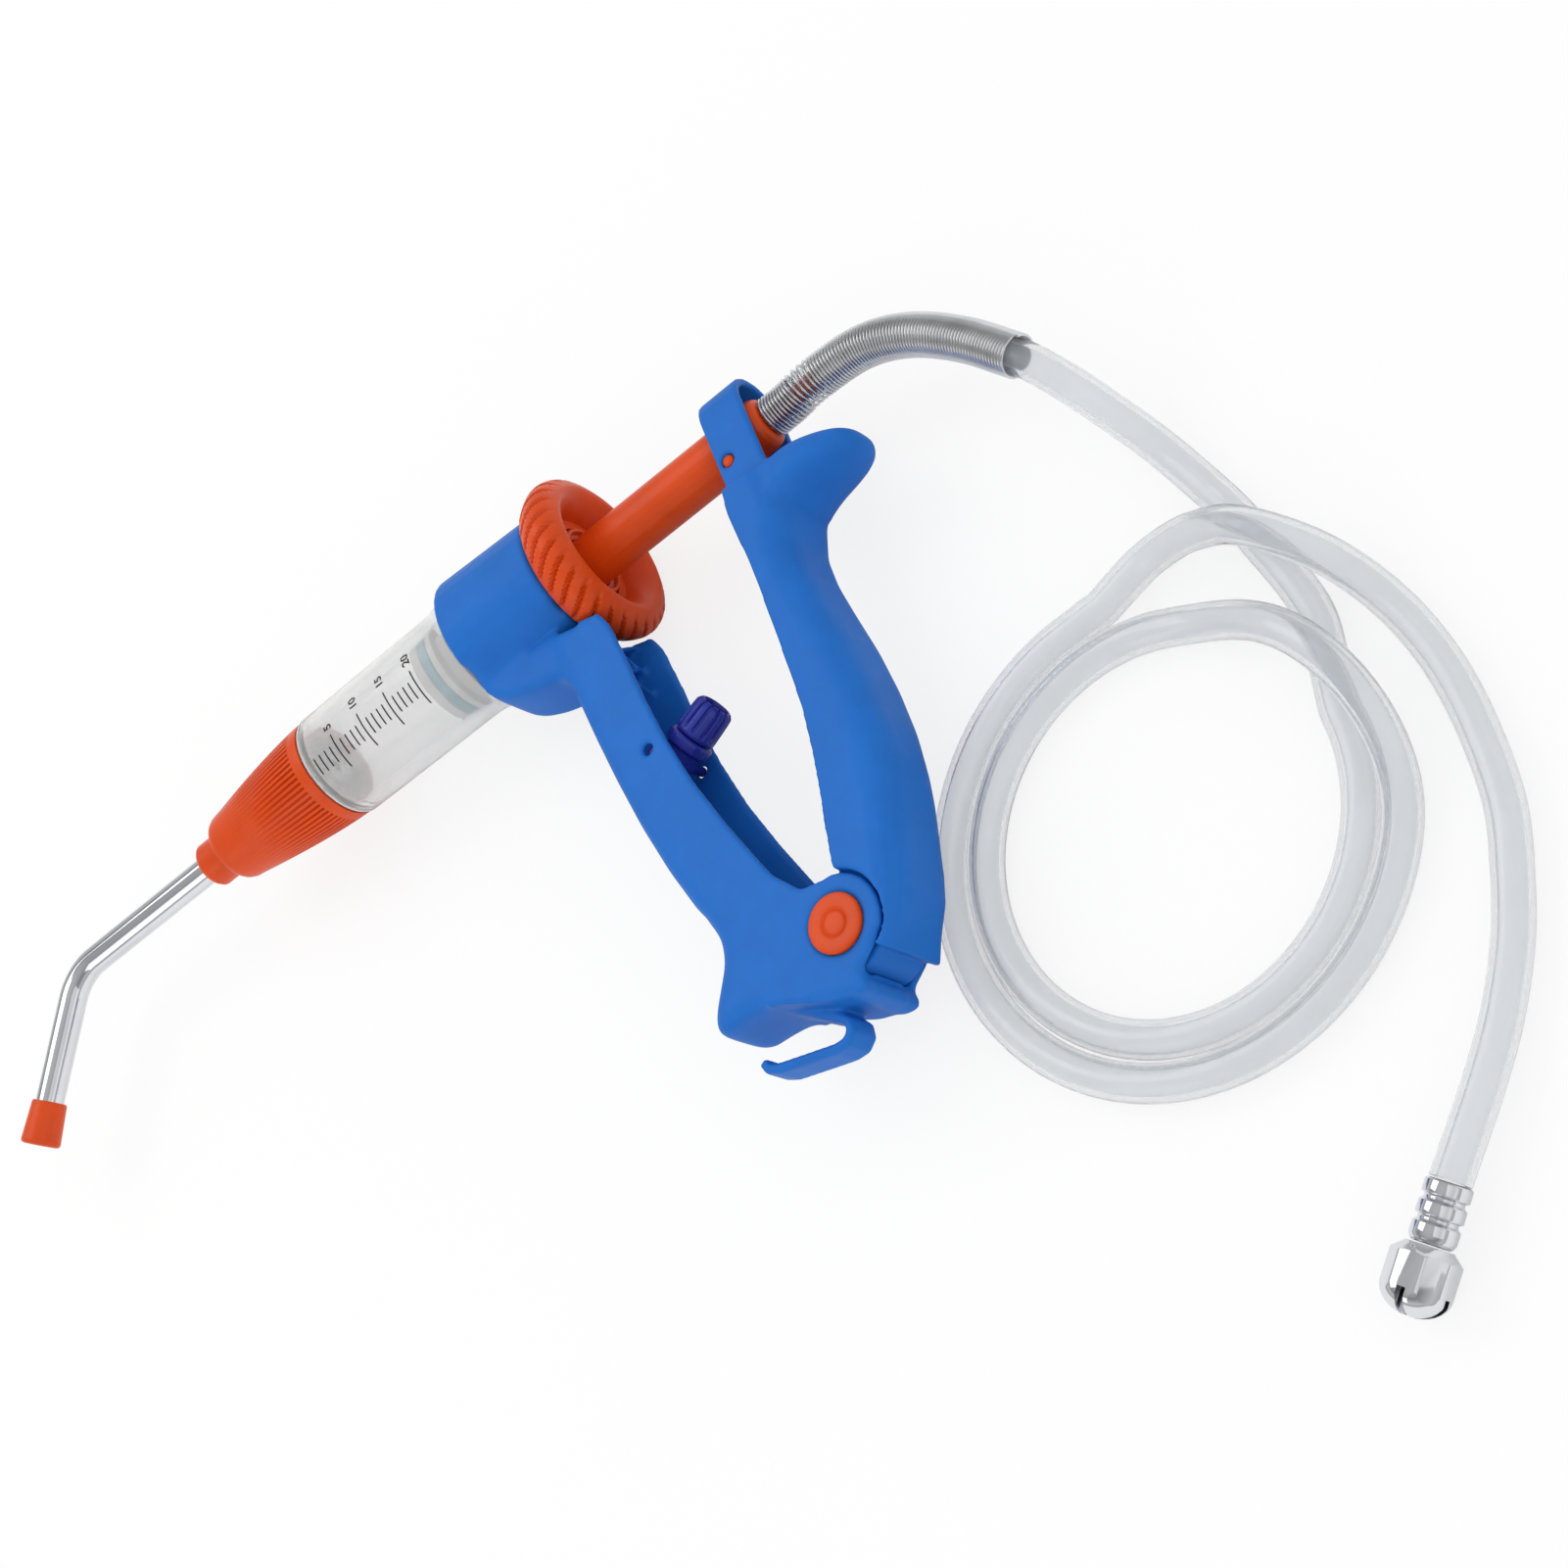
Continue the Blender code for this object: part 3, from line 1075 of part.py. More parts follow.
def stroke_stop(looks):
    """The navy stop: a collar that pivots in the front handle, and the screw with its fluted cap."""
    seat = in_mm([STOP_SEAT])[0]
    out = Vector((math.cos(STOP_TILT), math.sin(STOP_TILT), 0))
    hole = STOP_STEM_RADIUS + GAP
    profile = [
        (-STOP_COLLAR_BACK, STOP_COLLAR_RADIUS - 1.2 * MM),
        (STOP_COLLAR_FRONT - 3.4 * MM, STOP_COLLAR_RADIUS - 1.2 * MM),
        (STOP_COLLAR_FRONT - 3.0 * MM, STOP_COLLAR_RADIUS),
        (STOP_COLLAR_FRONT - 0.6 * MM, STOP_COLLAR_RADIUS),
        (STOP_COLLAR_FRONT, STOP_COLLAR_RADIUS - 0.6 * MM),
        (STOP_COLLAR_FRONT, hole),
        (-STOP_COLLAR_BACK, hole),
    ]
    nut = finish("stop_nut", turned(profile, 24, seat, out), looks["navy"])
    peg_end = FRONT_HALF_WIDTH - 0.8 * MM
    for side in (1, -1):
        low, high = sorted((side * 3.4 * MM, side * peg_end))
        join(nut, f"peg {side}", rod_z(STOP_PEG_RADIUS, low, high, seat.x, seat.y, 14))

    cap_rear = STOP_COLLAR_FRONT + GAP
    cap_end = cap_rear + STOP_CAP_LENGTH
    stem_end = cap_end - 2.8 * MM
    profile = [(-8.0 * MM, 0), (-8.0 * MM, STOP_STEM_RADIUS), (stem_end, STOP_STEM_RADIUS), (stem_end, 0)]
    finish("stop_stem", turned(profile, 16, seat, out), looks["navy"], origin=seat)
    recess = STOP_CAP_RADIUS - 2.0 * MM
    profile = [
        (cap_rear, 0),
        (cap_rear, STOP_CAP_RADIUS - 0.5 * MM),
        (cap_rear + 0.5 * MM, STOP_CAP_RADIUS),
        (cap_rear + 1.6 * MM, STOP_CAP_RADIUS),
        (cap_end - 1.2 * MM, STOP_CAP_RADIUS - 0.3 * MM),
        (cap_end - 0.3 * MM, STOP_CAP_RADIUS - 1.0 * MM),
        (cap_end, STOP_CAP_RADIUS - 1.7 * MM),
        (cap_end - 1.2 * MM, recess),
        (cap_end - 1.2 * MM, 0),
    ]
    outside = turned(profile, 0, seat, out, flutes=(STOP_CAP_FLUTES, 0.6 * MM, 3, 4))
    cap = finish("stop_knob", outside, looks["navy"], origin=seat + out * cap_rear)
    bore_end = stem_end + GAP
    bore = [(cap_rear - 1 * MM, 0), (cap_rear - 1 * MM, hole), (bore_end, hole), (bore_end, 0)]
    cut(cap, "stem bore", turned(bore, 16, seat, out))


def coil_point(turned_by):
    """A point of the coil's middle line, this far clockwise round from its start on the +X side."""
    share = max(0.0, min(1.0, (turned_by - COIL_STEP_START) / COIL_STEP_TURN))
    radius = COIL_RADIUS + COIL_STEP * share * share * (3 - 2 * share)
    off = (turned_by - COIL_HUMP) / COIL_HUMP_TURN
    rise = CROSSING_RISE * (1 + math.cos(math.pi * off)) / 2 if abs(off) < 1 else 0.0
    x = COIL_CENTRE[0] + radius * math.cos(-turned_by)
    y = COIL_CENTRE[1] + radius * math.sin(-turned_by)
    return Vector((x, y, HOSE_LIE + rise))


def coil_line():
    """The coil's middle line, from where the lead meets it to where the tail leaves it."""
    count = math.ceil(COIL_TURN / math.tau * LOOP_POINTS)
    return [coil_point(COIL_TURN * step / count) for step in range(count + 1)]


def spring_sleeve(look):
    """The wound steel sleeve that keeps the hose from kinking at the rod's end."""
    spring = wound(smooth_curve(in_mm(SLEEVE_ROUTE), 8), SLEEVE_COIL_RADIUS, SLEEVE_CURLS, SLEEVE_CURL_POINTS)
    tube("hose_spring_sleeve", spring, SLEEVE_WIRE / 2, look, resolution=1)
    print(f"spring sleeve: least gap to itself {least_gap(spring, SLEEVE_WIRE, 8 * MM) / MM:.2f} mm")


def hose_lead(look, coil):
    """The hose from the rod's end, through the spring sleeve and down to the coil."""
    route = in_mm(SLEEVE_ROUTE)
    mouth = route[-1]
    start = (coil[0] - coil[1]).normalized()
    falling = lying([(x, y * RISE, z) for x, y, z in LEAD_ROUTE])
    line = smooth_curve([*route, *falling, coil[0] + start * STRAIGHT_END], 8)
    turn = next(i for i, point in enumerate(line) if (point - mouth).length < 0.01 * MM)
    inside = spaced(line[: turn + 1], 7 * MM)
    outside = [*spaced(line[turn:], 14 * MM)[1:], coil[0] + start * GAP]
    grips = [HOSE_GRIP] * len(inside) + [1.0] * len(outside)
    tube("hose_lead", [*inside, *outside], HOSE_RADIUS, look, grips=grips)
    return [*inside, *outside]


def hose_tail(look, coil):
    """The hose from the coil over the lead and round the coil to the sinker."""
    end = (coil[-1] - coil[-2]).normalized()
    line = smooth_curve([coil[-1] + end * STRAIGHT_END, *lying(TAIL_ROUTE)], 8)
    points = [coil[-1] + end * GAP, *spaced(line, 13 * MM)]
    tube("hose_tail", points, HOSE_RADIUS, look)
    return points


def hose(looks):
    """Spring sleeve, lead, coil and tail of the supply hose, and the sinker on its end."""
    spring_sleeve(looks["steel"])
    coil = coil_line()
    tube("hose_coil", coil, HOSE_RADIUS, looks["hose"], resolution=1)
    print(f"hose coil: least gap to itself {least_gap(coil, 2 * HOSE_RADIUS, 120 * MM) / MM:.2f} mm")
    lead = hose_lead(looks["hose"], coil)
    tail = hose_tail(looks["hose"], coil)
    for name, points in (("lead", lead), ("coil", coil), ("tail", tail)):
        length = sum((b - a).length for a, b in zip(points, points[1:]))
        print(f"hose {name}: {length / MM:.0f} mm in {len(points)} points")

    out = tail[-1] - tail[-2]
    out.z = 0
    out.normalize()
    sinker(looks, tail[-1] + out * GAP, out)


def sinker(looks, seat, out):
    """The chromed ferrule with its three rings, and the slotted weight on it."""
    profile = [(0, 0), (0, FERRULE_RADIUS - 0.4 * MM)]
    rings = 3
    for ring in range(rings):
        low = FERRULE_LENGTH * ring / rings
        high = FERRULE_LENGTH * (ring + 1) / rings
        profile += [(low + 0.4 * MM, FERRULE_RADIUS), (high - 1.3 * MM, FERRULE_RADIUS)]
        if ring < rings - 1:
            profile += [(high - 0.9 * MM, FERRULE_RADIUS - 0.8 * MM), (high, FERRULE_RADIUS - 0.8 * MM)]
    profile += [(FERRULE_LENGTH, FERRULE_RADIUS - 0.9 * MM), (FERRULE_LENGTH, 0)]
    finish("hose_ferrule", turned(profile, 16, seat, out), looks["chrome"])

    seat = seat + out * (FERRULE_LENGTH + GAP)
    neck = SINKER_RADIUS - 2.2 * MM
    profile = [(0, 0), (0, neck), (2.2 * MM, SINKER_RADIUS), (SINKER_LENGTH * 0.62, SINKER_RADIUS)]
    for step in range(1, 4):
        turn = math.radians(90) * step / 4
        along = SINKER_LENGTH * (0.62 + 0.38 * math.sin(turn))
        profile.append((along, SINKER_RADIUS * math.cos(turn)))
    profile.append((SINKER_LENGTH, 0))
    head = finish("sinker_head", turned(profile, 16, seat, out), looks["chrome"])
    across_hose = out.cross(Vector((0, 0, 1)))
    for name, flat in (("slot flat", across_hose), ("slot upright", Vector((0, 0, 1)))):
        third = out.cross(flat)
        axes = Matrix((flat, third, out)).transposed().to_4x4()
        slot = box((-10 * MM, -SINKER_SLOT / 2, 0), (10 * MM, SINKER_SLOT / 2, 10 * MM))
        place = Matrix.Translation(seat + out * (SINKER_LENGTH - 5.5 * MM)) @ axes
        bmesh.ops.transform(slot, matrix=place, verts=slot.verts)
        cut(head, name, slot)


def stand_on_surface(cord):
    """Moves every piece so that the origin lies under the middle of the syringe, on the surface."""
    bpy.context.view_layer.update()
    graph = bpy.context.evaluated_depsgraph_get()
    low = Vector((math.inf,) * 3)
    high = -low
    for obj in bpy.data.objects:
        if obj.hide_render or obj.name in cord:
            continue
        mesh = obj.evaluated_get(graph).to_mesh()
        for vertex in mesh.vertices:
            at = obj.matrix_world @ vertex.co
            low = Vector(map(min, low, at))
            high = Vector(map(max, high, at))
    shift = -Vector(((low.x + high.x) / 2, (low.y + high.y) / 2, low.z))
    for obj in bpy.data.objects:
        obj.location += shift
    return shift


def main():
    clear_scene()
    looks = {
        "blue": material("moulded blue plastic", (0.02, 0.14, 0.52), 0.45),
        "orange": material("moulded orange plastic", (0.68, 0.09, 0.015), 0.35),
        "navy": material("moulded navy plastic", (0.03, 0.03, 0.25), 0.3),
        "barrel": material("clear barrel plastic", (0.82, 0.83, 0.83), 0.3, transmission=0.6),
        "grey": material("pale grey plastic", (0.7, 0.7, 0.69), 0.4),
        "seal": material("turquoise seal rubber", (0.15, 0.62, 0.6), 0.5),
        "rubber": material("dark valve rubber", (0.06, 0.06, 0.06), 0.6),
        "chrome": material("polished chrome", (0.8, 0.8, 0.8), 0.08, metallic=1.0),
        "steel": material("spring steel", (0.55, 0.55, 0.54), 0.25, metallic=1.0),
        "hose": material("clear hose", (0.85, 0.86, 0.87), 0.1, transmission=0.8),
    }
    front_handle(looks["blue"])
    rear_handle(looks["blue"])
    barrel(looks["barrel"])
    nose_cone(looks["orange"])
    outlet(looks)
    drench_tube(looks)
    plunger(looks)
    dose_parts(looks)
    pivot(looks)
    stroke_stop(looks)
    hose(looks)
    cord = ("hose_lead", "hose_coil", "hose_tail", "hose_ferrule", "sinker_head")
    shift = stand_on_surface(cord)
    print("pivot at", [round(value, 6) for value in shift])
    print("barrel axis at", [round(value, 6) for value in shift + Vector((0, AXIS_HEIGHT, 0))])
    print("stop seat at", [round(value, 6) for value in shift + in_mm([STOP_SEAT])[0]])
    print(f"stroke {STROKE:.6f} m, ratio {STROKE / SQUEEZE:.6f} m per rad, dose {STROKE / ML_LENGTH:.2f} ml")


main()
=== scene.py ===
"""The looks of an automatic veterinary syringe with its coiled supply hose.

Lengths in the code are in millimetres about the handle pivot: X along the barrel towards the hose,
Y from the handle's foot up to the barrel, Z away from the surface that the syringe lies on. place()
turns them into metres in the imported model's own frame.
"""

import logging
import math
from collections.abc import Callable, Iterable, Mapping, Sequence
from dataclasses import dataclass
from enum import Enum
from typing import Any

import bmesh
import bpy
from mathutils import Matrix, Vector


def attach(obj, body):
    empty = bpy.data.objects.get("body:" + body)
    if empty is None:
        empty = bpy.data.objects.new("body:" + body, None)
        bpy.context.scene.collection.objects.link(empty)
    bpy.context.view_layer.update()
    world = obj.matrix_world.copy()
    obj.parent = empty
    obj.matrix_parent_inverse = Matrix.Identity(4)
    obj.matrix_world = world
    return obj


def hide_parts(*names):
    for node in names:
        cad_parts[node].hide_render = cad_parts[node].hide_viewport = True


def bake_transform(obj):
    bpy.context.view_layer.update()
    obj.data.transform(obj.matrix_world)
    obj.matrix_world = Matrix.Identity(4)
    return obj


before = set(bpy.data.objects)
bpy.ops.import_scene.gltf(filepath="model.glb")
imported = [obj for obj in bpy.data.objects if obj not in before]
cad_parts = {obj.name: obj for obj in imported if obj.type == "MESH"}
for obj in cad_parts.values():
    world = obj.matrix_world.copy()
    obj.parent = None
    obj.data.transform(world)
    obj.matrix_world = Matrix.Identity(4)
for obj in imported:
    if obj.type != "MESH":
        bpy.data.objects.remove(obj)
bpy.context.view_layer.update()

LOG = logging.getLogger("syringe")
MM = 0.001
PIVOT = Vector((0.085469, -0.067935, 0.02375))  # The handle pivot in the model's frame, in metres.
AXIS_HEIGHT = 136.1  # The barrel's axis above the pivot.
FLOOR = -23.75  # The surface that the syringe lies on.

Point = tuple[float, float]
Span = tuple[float, float]
Triple = tuple[float, float, float]
Colour = tuple[float, float, float]
Mesh = bmesh.types.BMesh
Piece = bpy.types.Object

WHITE: Colour = (1.0, 1.0, 1.0)


def place(x: float, y: float, z: float = 0.0) -> Vector:
    """Turns a point in millimetres about the pivot into metres in the model's frame.

    Args:
        x: Along the barrel.
        y: Up from the handle's foot.
        z: Away from the surface.

    Returns:
        The point in the model's frame.
    """
    return Vector((x, y, z)) * MM + PIVOT


def tint(red: int, green: int, blue: int) -> Colour:
    """Turns a display colour into the linear one that shaders take.

    Args:
        red: From 0 to 255.
        green: From 0 to 255.
        blue: From 0 to 255.

    Returns:
        The linear colour.
    """

    def linear(value: float) -> float:
        """Linear value of one display channel."""
        return value / 12.92 if value <= 0.04045 else ((value + 0.055) / 1.055) ** 2.4

    return linear(red / 255), linear(green / 255), linear(blue / 255)


class Signal:
    """A shader socket that takes part in arithmetic."""

    def __init__(self, graph: "Graph", socket: bpy.types.NodeSocket | None) -> None:
        """Wraps a socket.

        Args:
            graph: The graph that the socket belongs to.
            socket: The output socket, if the node has any.
        """
        self.graph = graph
        self.socket = socket

    def _with(self, operation: str, first: Any, second: Any) -> "Signal":
        """Adds one Math node.

        Args:
            operation: The node's operation.
            first: Its first value or link.
            second: Its second value or link.

        Returns:
            The result.
        """
        return self.graph.node("ShaderNodeMath", {"operation": operation}, {0: first, 1: second})

    def __add__(self, other: Any) -> "Signal":
        """Sum."""
        return self._with("ADD", self, other)

    __radd__ = __add__

    def __mul__(self, other: Any) -> "Signal":
        """Product."""
        return self._with("MULTIPLY", self, other)

    __rmul__ = __mul__

    def __sub__(self, other: Any) -> "Signal":
        """Difference."""
        return self._with("SUBTRACT", self, other)

    def __rsub__(self, other: Any) -> "Signal":
        """Difference with the operands the other way round."""
        return self._with("SUBTRACT", other, self)

    def between(self, low: float, high: float) -> "Signal":
        """Spreads the part from low to high over 0 to 1, clamped.

        Args:
            low: The value that gives 0.
            high: The value that gives 1.

        Returns:
            The spread value.
        """
        spread = {"Value": self, "From Min": low, "From Max": high}
        return self.graph.node("ShaderNodeMapRange", {"clamp": True}, spread)


class Graph:
    """A node tree that is being built."""

    def __init__(self, tree: bpy.types.NodeTree) -> None:
        """Starts with an empty tree.

        Args:
            tree: The tree of a material or a world.
        """
        self.tree = tree
        tree.nodes.clear()

    def node(
        self, kind: str, settings: Mapping[str, Any], sockets: Mapping[Any, Any], output: Any = 0
    ) -> Signal:
        """Adds a node.

        Args:
            kind: The node's type.
            settings: Its properties, and "stops" for a colour ramp.
            sockets: Values or links of its inputs by name or index.
            output: The output to give back, by name or index.

        Returns:
            The chosen output.
        """
        made = self.tree.nodes.new(kind)
        for key, value in settings.items():
            if key == "stops":
                elements = made.color_ramp.elements
                first, *middle, last = value
                for position, colour in middle:
                    elements.new(position).color = (*colour, 1.0)
                for index, (position, colour) in ((0, first), (-1, last)):
                    elements[index].position = position
                    elements[index].color = (*colour, 1.0)
            else:
                setattr(made, key, value)
        for key, value in sockets.items():
            if isinstance(value, Signal):
                self.tree.links.new(value.socket, made.inputs[key])
            elif made.inputs[key].type == "RGBA":
                made.inputs[key].default_value = (*value, 1.0)
            else:
                made.inputs[key].default_value = value
        return Signal(self, made.outputs[output] if made.outputs else None)

    def noise(self, at: Signal, size_mm: float, detail: float = 3.0) -> Signal:
        """Adds noise of a real size.

        Args:
            at: The coordinates.
            size_mm: Size of its blotches.
            detail: Octaves of finer noise.

        Returns:
            Noise about 0.5.
        """
        sockets = {"Vector": at, "Scale": 1000.0 / size_mm, "Detail": detail, "Roughness": 0.6}
        return self.node("ShaderNodeTexNoise", {}, sockets)

    def mix(self, share: Signal | float, first: Any, second: Any) -> Signal:
        """Mixes two colours.

        Args:
            share: Share of the second.
            first: Colour or link.
            second: Colour or link.

        Returns:
            The mixed colour.
        """
        # These are the node's sockets for colours.
        return self.node("ShaderNodeMix", {"data_type": "RGBA"}, {0: share, 6: first, 7: second}, 2)


class Stuff(Enum):
    """How a finish takes light."""

    OPAQUE = "opaque"
    METAL = "metal"
    CLEAR = "clear"


BLOTCH_MM = 14.0
BLOTCH_RANGE = (0.35, 0.65)
RUB_MM = 5.0
RUB_RANGE = (0.52, 0.68)
EDGE_RANGE = (0.54, 0.64)
WORN_LEVEL = 0.75
WORN_SHARE = 0.22
BLOTCH_ROUGHNESS = 0.12
RUB_ROUGHNESS = -0.1


@dataclass(frozen=True)
class Finish:
    """A procedural finish with its wear."""

    name: str
    slot: str
    colour: Colour
    roughness: float
    grain_mm: float = 0.35
    grain_depth_mm: float = 0.012
    mottle: float = 0.06
    wear: float = 0.25
    stuff: Stuff = Stuff.OPAQUE
    clarity: float = 0.0
    ior: float = 1.46
    gloss: float = 0.5

    def material(self) -> bpy.types.Material:
        """Gives the material, made once.

        Returns:
            The material.
        """
        known = bpy.data.materials.get(self.name)
        if known:
            return known
        made = bpy.data.materials.new(self.name)
        made.use_nodes = True
        graph = Graph(made.node_tree)
        at = graph.node("ShaderNodeTexCoord", {}, {}, "Object")
        grain = graph.noise(at, self.grain_mm, 2.0)
        blotch = graph.noise(at, BLOTCH_MM, 4.0)
        rubbed = graph.noise(at, RUB_MM, 6.0).between(*RUB_RANGE)
        edge = graph.node("ShaderNodeNewGeometry", {}, {}, "Pointiness").between(*EDGE_RANGE)
        dark = tuple(value * (1 - self.mottle) for value in self.colour)
        light = tuple(min(1.0, value * (1 + self.mottle)) for value in self.colour)
        pale = tuple(value + (WORN_LEVEL - value) * WORN_SHARE for value in self.colour)
        colour = graph.mix(blotch.between(*BLOTCH_RANGE), dark, light)
        colour = graph.mix(edge * rubbed * self.wear, colour, pale)
        roughness = (blotch - 0.5) * BLOTCH_ROUGHNESS + rubbed * (RUB_ROUGHNESS * self.wear) + self.roughness
        bump = graph.node(
            "ShaderNodeBump", {}, {"Strength": 1.0, "Distance": self.grain_depth_mm * MM, "Height": grain}
        )
        sockets: dict[str, Any] = {"Base Color": colour, "Roughness": roughness, "Normal": bump}
        sockets |= {"IOR": self.ior, "Specular IOR Level": self.gloss}
        if self.stuff is Stuff.METAL:
            sockets["Metallic"] = 1.0
        if self.stuff is Stuff.CLEAR:
            sockets["Transmission Weight"] = self.clarity
        shader = graph.node("ShaderNodeBsdfPrincipled", {}, sockets)
        graph.node("ShaderNodeOutputMaterial", {}, {"Surface": shader})
        made.diffuse_color = (*self.colour, 1.0)
        return made


# Name, slot, colour, roughness, size of the grain, its depth, mottle and wear.
BLUE = Finish("moulded_blue", "blue_plastic", tint(25, 105, 193), 0.5, 0.5, 0.014, 0.05, 0.5, gloss=0.22)
ORANGE = Finish("moulded_orange", "orange_plastic", tint(212, 71, 12), 0.36, 0.6, 0.008, 0.07, 0.4, gloss=0.3)
NAVY = Finish("moulded_navy", "navy_plastic", tint(36, 48, 148), 0.28, 0.5, 0.008, 0.06, 0.5, gloss=0.45)
FROSTED = Finish(
    "frosted_barrel", "clear_barrel", tint(247, 247, 247), 0.135, 1.2, 0.008, 0.01, 0.0, Stuff.CLEAR, 0.76, 1.3
)
PALE = Finish("pale_piston", "pale_plastic", tint(214, 213, 210), 0.4, 0.5, 0.008, 0.03, 0.1)
SEAL = Finish("turquoise_seal", "seal_rubber", tint(0, 150, 166), 0.45, 0.3, 0.01, 0.05, 0.1)
VALVE = Finish("dark_valve_rubber", "valve_rubber", tint(70, 70, 72), 0.55, 0.3, 0.012, 0.1, 0.1)
CHROME = Finish("polished_chrome", "chrome", tint(222, 224, 228), 0.1, 2.0, 0.002, 0.03, 0.2, Stuff.METAL)
STEEL = Finish(
    "drawn_steel_wire", "spring_steel", tint(216, 217, 219), 0.24, 0.3, 0.004, 0.08, 0.2, Stuff.METAL
)
HOSE = Finish(
    "clear_hose_wall", "clear_hose", tint(240, 242, 244), 0.14, 3.0, 0.004, 0.01, 0.0, Stuff.CLEAR, 0.93, 1.36
)
INK = Finish("scale_ink", "valve_rubber", tint(36, 36, 38), 0.6, 0.15, 0.004, 0.3, 0.0, gloss=0.2)


def clamped(value: float) -> float:
    """Holds a value between 0 and 1.

    Args:
        value: The value.

    Returns:
        The held value.
    """
    return max(0.0, min(1.0, value))


@dataclass(frozen=True)
class Axis:
    """A line that a turned piece is centred on."""

    centre: Vector
    direction: Vector

    def matrix(self) -> Matrix:
        """Gives the transform that takes the X axis to this line.

        Returns:
            The transform.
        """
        turn = Vector((1, 0, 0)).rotation_difference(self.direction).to_matrix().to_4x4()
        return Matrix.Translation(self.centre) @ turn


BARREL_AXIS = Axis(place(0, AXIS_HEIGHT), Vector((1, 0, 0)))
PIVOT_AXIS = Axis(place(0, 0), Vector((0, 0, 1)))


def frames_along(points: Sequence[Vector]) -> list[Matrix]:
    """Gives a frame at each point of a route, carried along it without twist.

    Args:
        points: The route.

    Returns:
        A matrix for each point, with Z along the route.
    """
    found = []
    side = None
    for index, point in enumerate(points):
        ahead = (points[min(index + 1, len(points) - 1)] - points[max(index - 1, 0)]).normalized()
        side = side or ahead.orthogonal()
        side = (side - ahead * side.dot(ahead)).normalized()
        turn = Matrix((side, ahead.cross(side), ahead)).transposed().to_4x4()
        found.append(Matrix.Translation(point) @ turn)
    return found


def smooth_curve(points: Sequence[Vector], per_span: int) -> list[Vector]:
    """Gives points of a Catmull-Rom curve.

    Args:
        points: The points that it passes through.
        per_span: How many points each span gets.

    Returns:
        The curve's points, both ends included.
    """
    ends = [2 * points[0] - points[1], *points, 2 * points[-1] - points[-2]]
    found = []
    for a, b, c, d in zip(ends, ends[1:], ends[2:], ends[3:]):
        for step in range(per_span):
            t = step / per_span
            square = (2 * a - 5 * b + 4 * c - d) * t * t
            found.append(0.5 * (2 * b + (c - a) * t + square + (3 * b - 3 * c + d - a) * t**3))
    return [*found, points[-1].copy()]


def spaced(points: Sequence[Vector], spacing: float) -> list[Vector]:
    """Gives the same route with a point about every spacing.

    Args:
        points: The route.
        spacing: Distance in metres.

    Returns:
        The evened route, both ends kept.
    """
    lengths = [0.0]
    for a, b in zip(points, points[1:]):
        lengths.append(lengths[-1] + (b - a).length)
    count = max(1, round(lengths[-1] / spacing))
    found = []
    at = 0
    for step in range(count + 1):
        want = lengths[-1] * step / count
        while at < len(points) - 2 and lengths[at + 1] < want:
            at += 1
        share = (want - lengths[at]) / max(lengths[at + 1] - lengths[at], 1e-9)
        found.append(points[at].lerp(points[at + 1], min(share, 1.0)))
    return found


def lathe(profile: Sequence[Point], steps: int, closed: bool = False) -> Mesh:
    """Spins a profile about the X axis.

    Args:
        profile: Points of (distance along the axis, radius) in millimetres.
        steps: Steps of the full turn.
        closed: Whether the last point joins the first, as in a ring.

    Returns:
        The turned mesh about the X axis, in metres.
    """
    bm = bmesh.new()
    verts = [bm.verts.new((along * MM, radius * MM, 0.0)) for along, radius in profile]
    pairs = list(zip(verts, verts[1:]))
    if closed:
        pairs.append((verts[-1], verts[0]))
    edges = [bm.edges.new(pair) for pair in pairs]
    bmesh.ops.spin(
        bm, geom=[*verts, *edges], cent=(0, 0, 0), axis=(1, 0, 0), angle=math.tau, steps=steps, use_merge=True
    )
    bmesh.ops.remove_doubles(bm, verts=bm.verts, dist=1e-6)
    return bm


@dataclass(frozen=True)
class Grooves:
    """Grooves pressed into a mesh that is turned about the X axis.

    Their depth fades in from low and out towards high, along the axis. Nothing within the radius inside is
    pressed. Their width is a share of their spacing, and their slant is in degrees for each millimetre.
    """

    count: int
    depth: float
    low: float
    low_fade: float
    high: float = math.inf
    high_fade: float = 1.0
    inside: float = 0.0
    width: float = 0.5
    crispness: float = 1.8
    slant: float = 0.0

    def press(self, bm: Mesh) -> None:
        """Presses the grooves into a mesh.

        Args:
            bm: The mesh, before it is set on its axis.
        """
        lip = math.cos(math.pi * self.width)
        for vert in bm.verts:
            along = vert.co.x / MM
            radius = vert.co.yz.length / MM
            if radius <= self.inside:
                continue
            turn = math.atan2(vert.co.z, vert.co.y) + math.radians(self.slant) * along
            share = clamped((math.cos(turn * self.count) - lip) * self.crispness)
            share *= clamped((along - self.low) / self.low_fade)
            share *= clamped((self.high - along) / self.high_fade)
            if share:
                vert.co.yz = vert.co.yz * ((radius - self.depth * share) / radius)


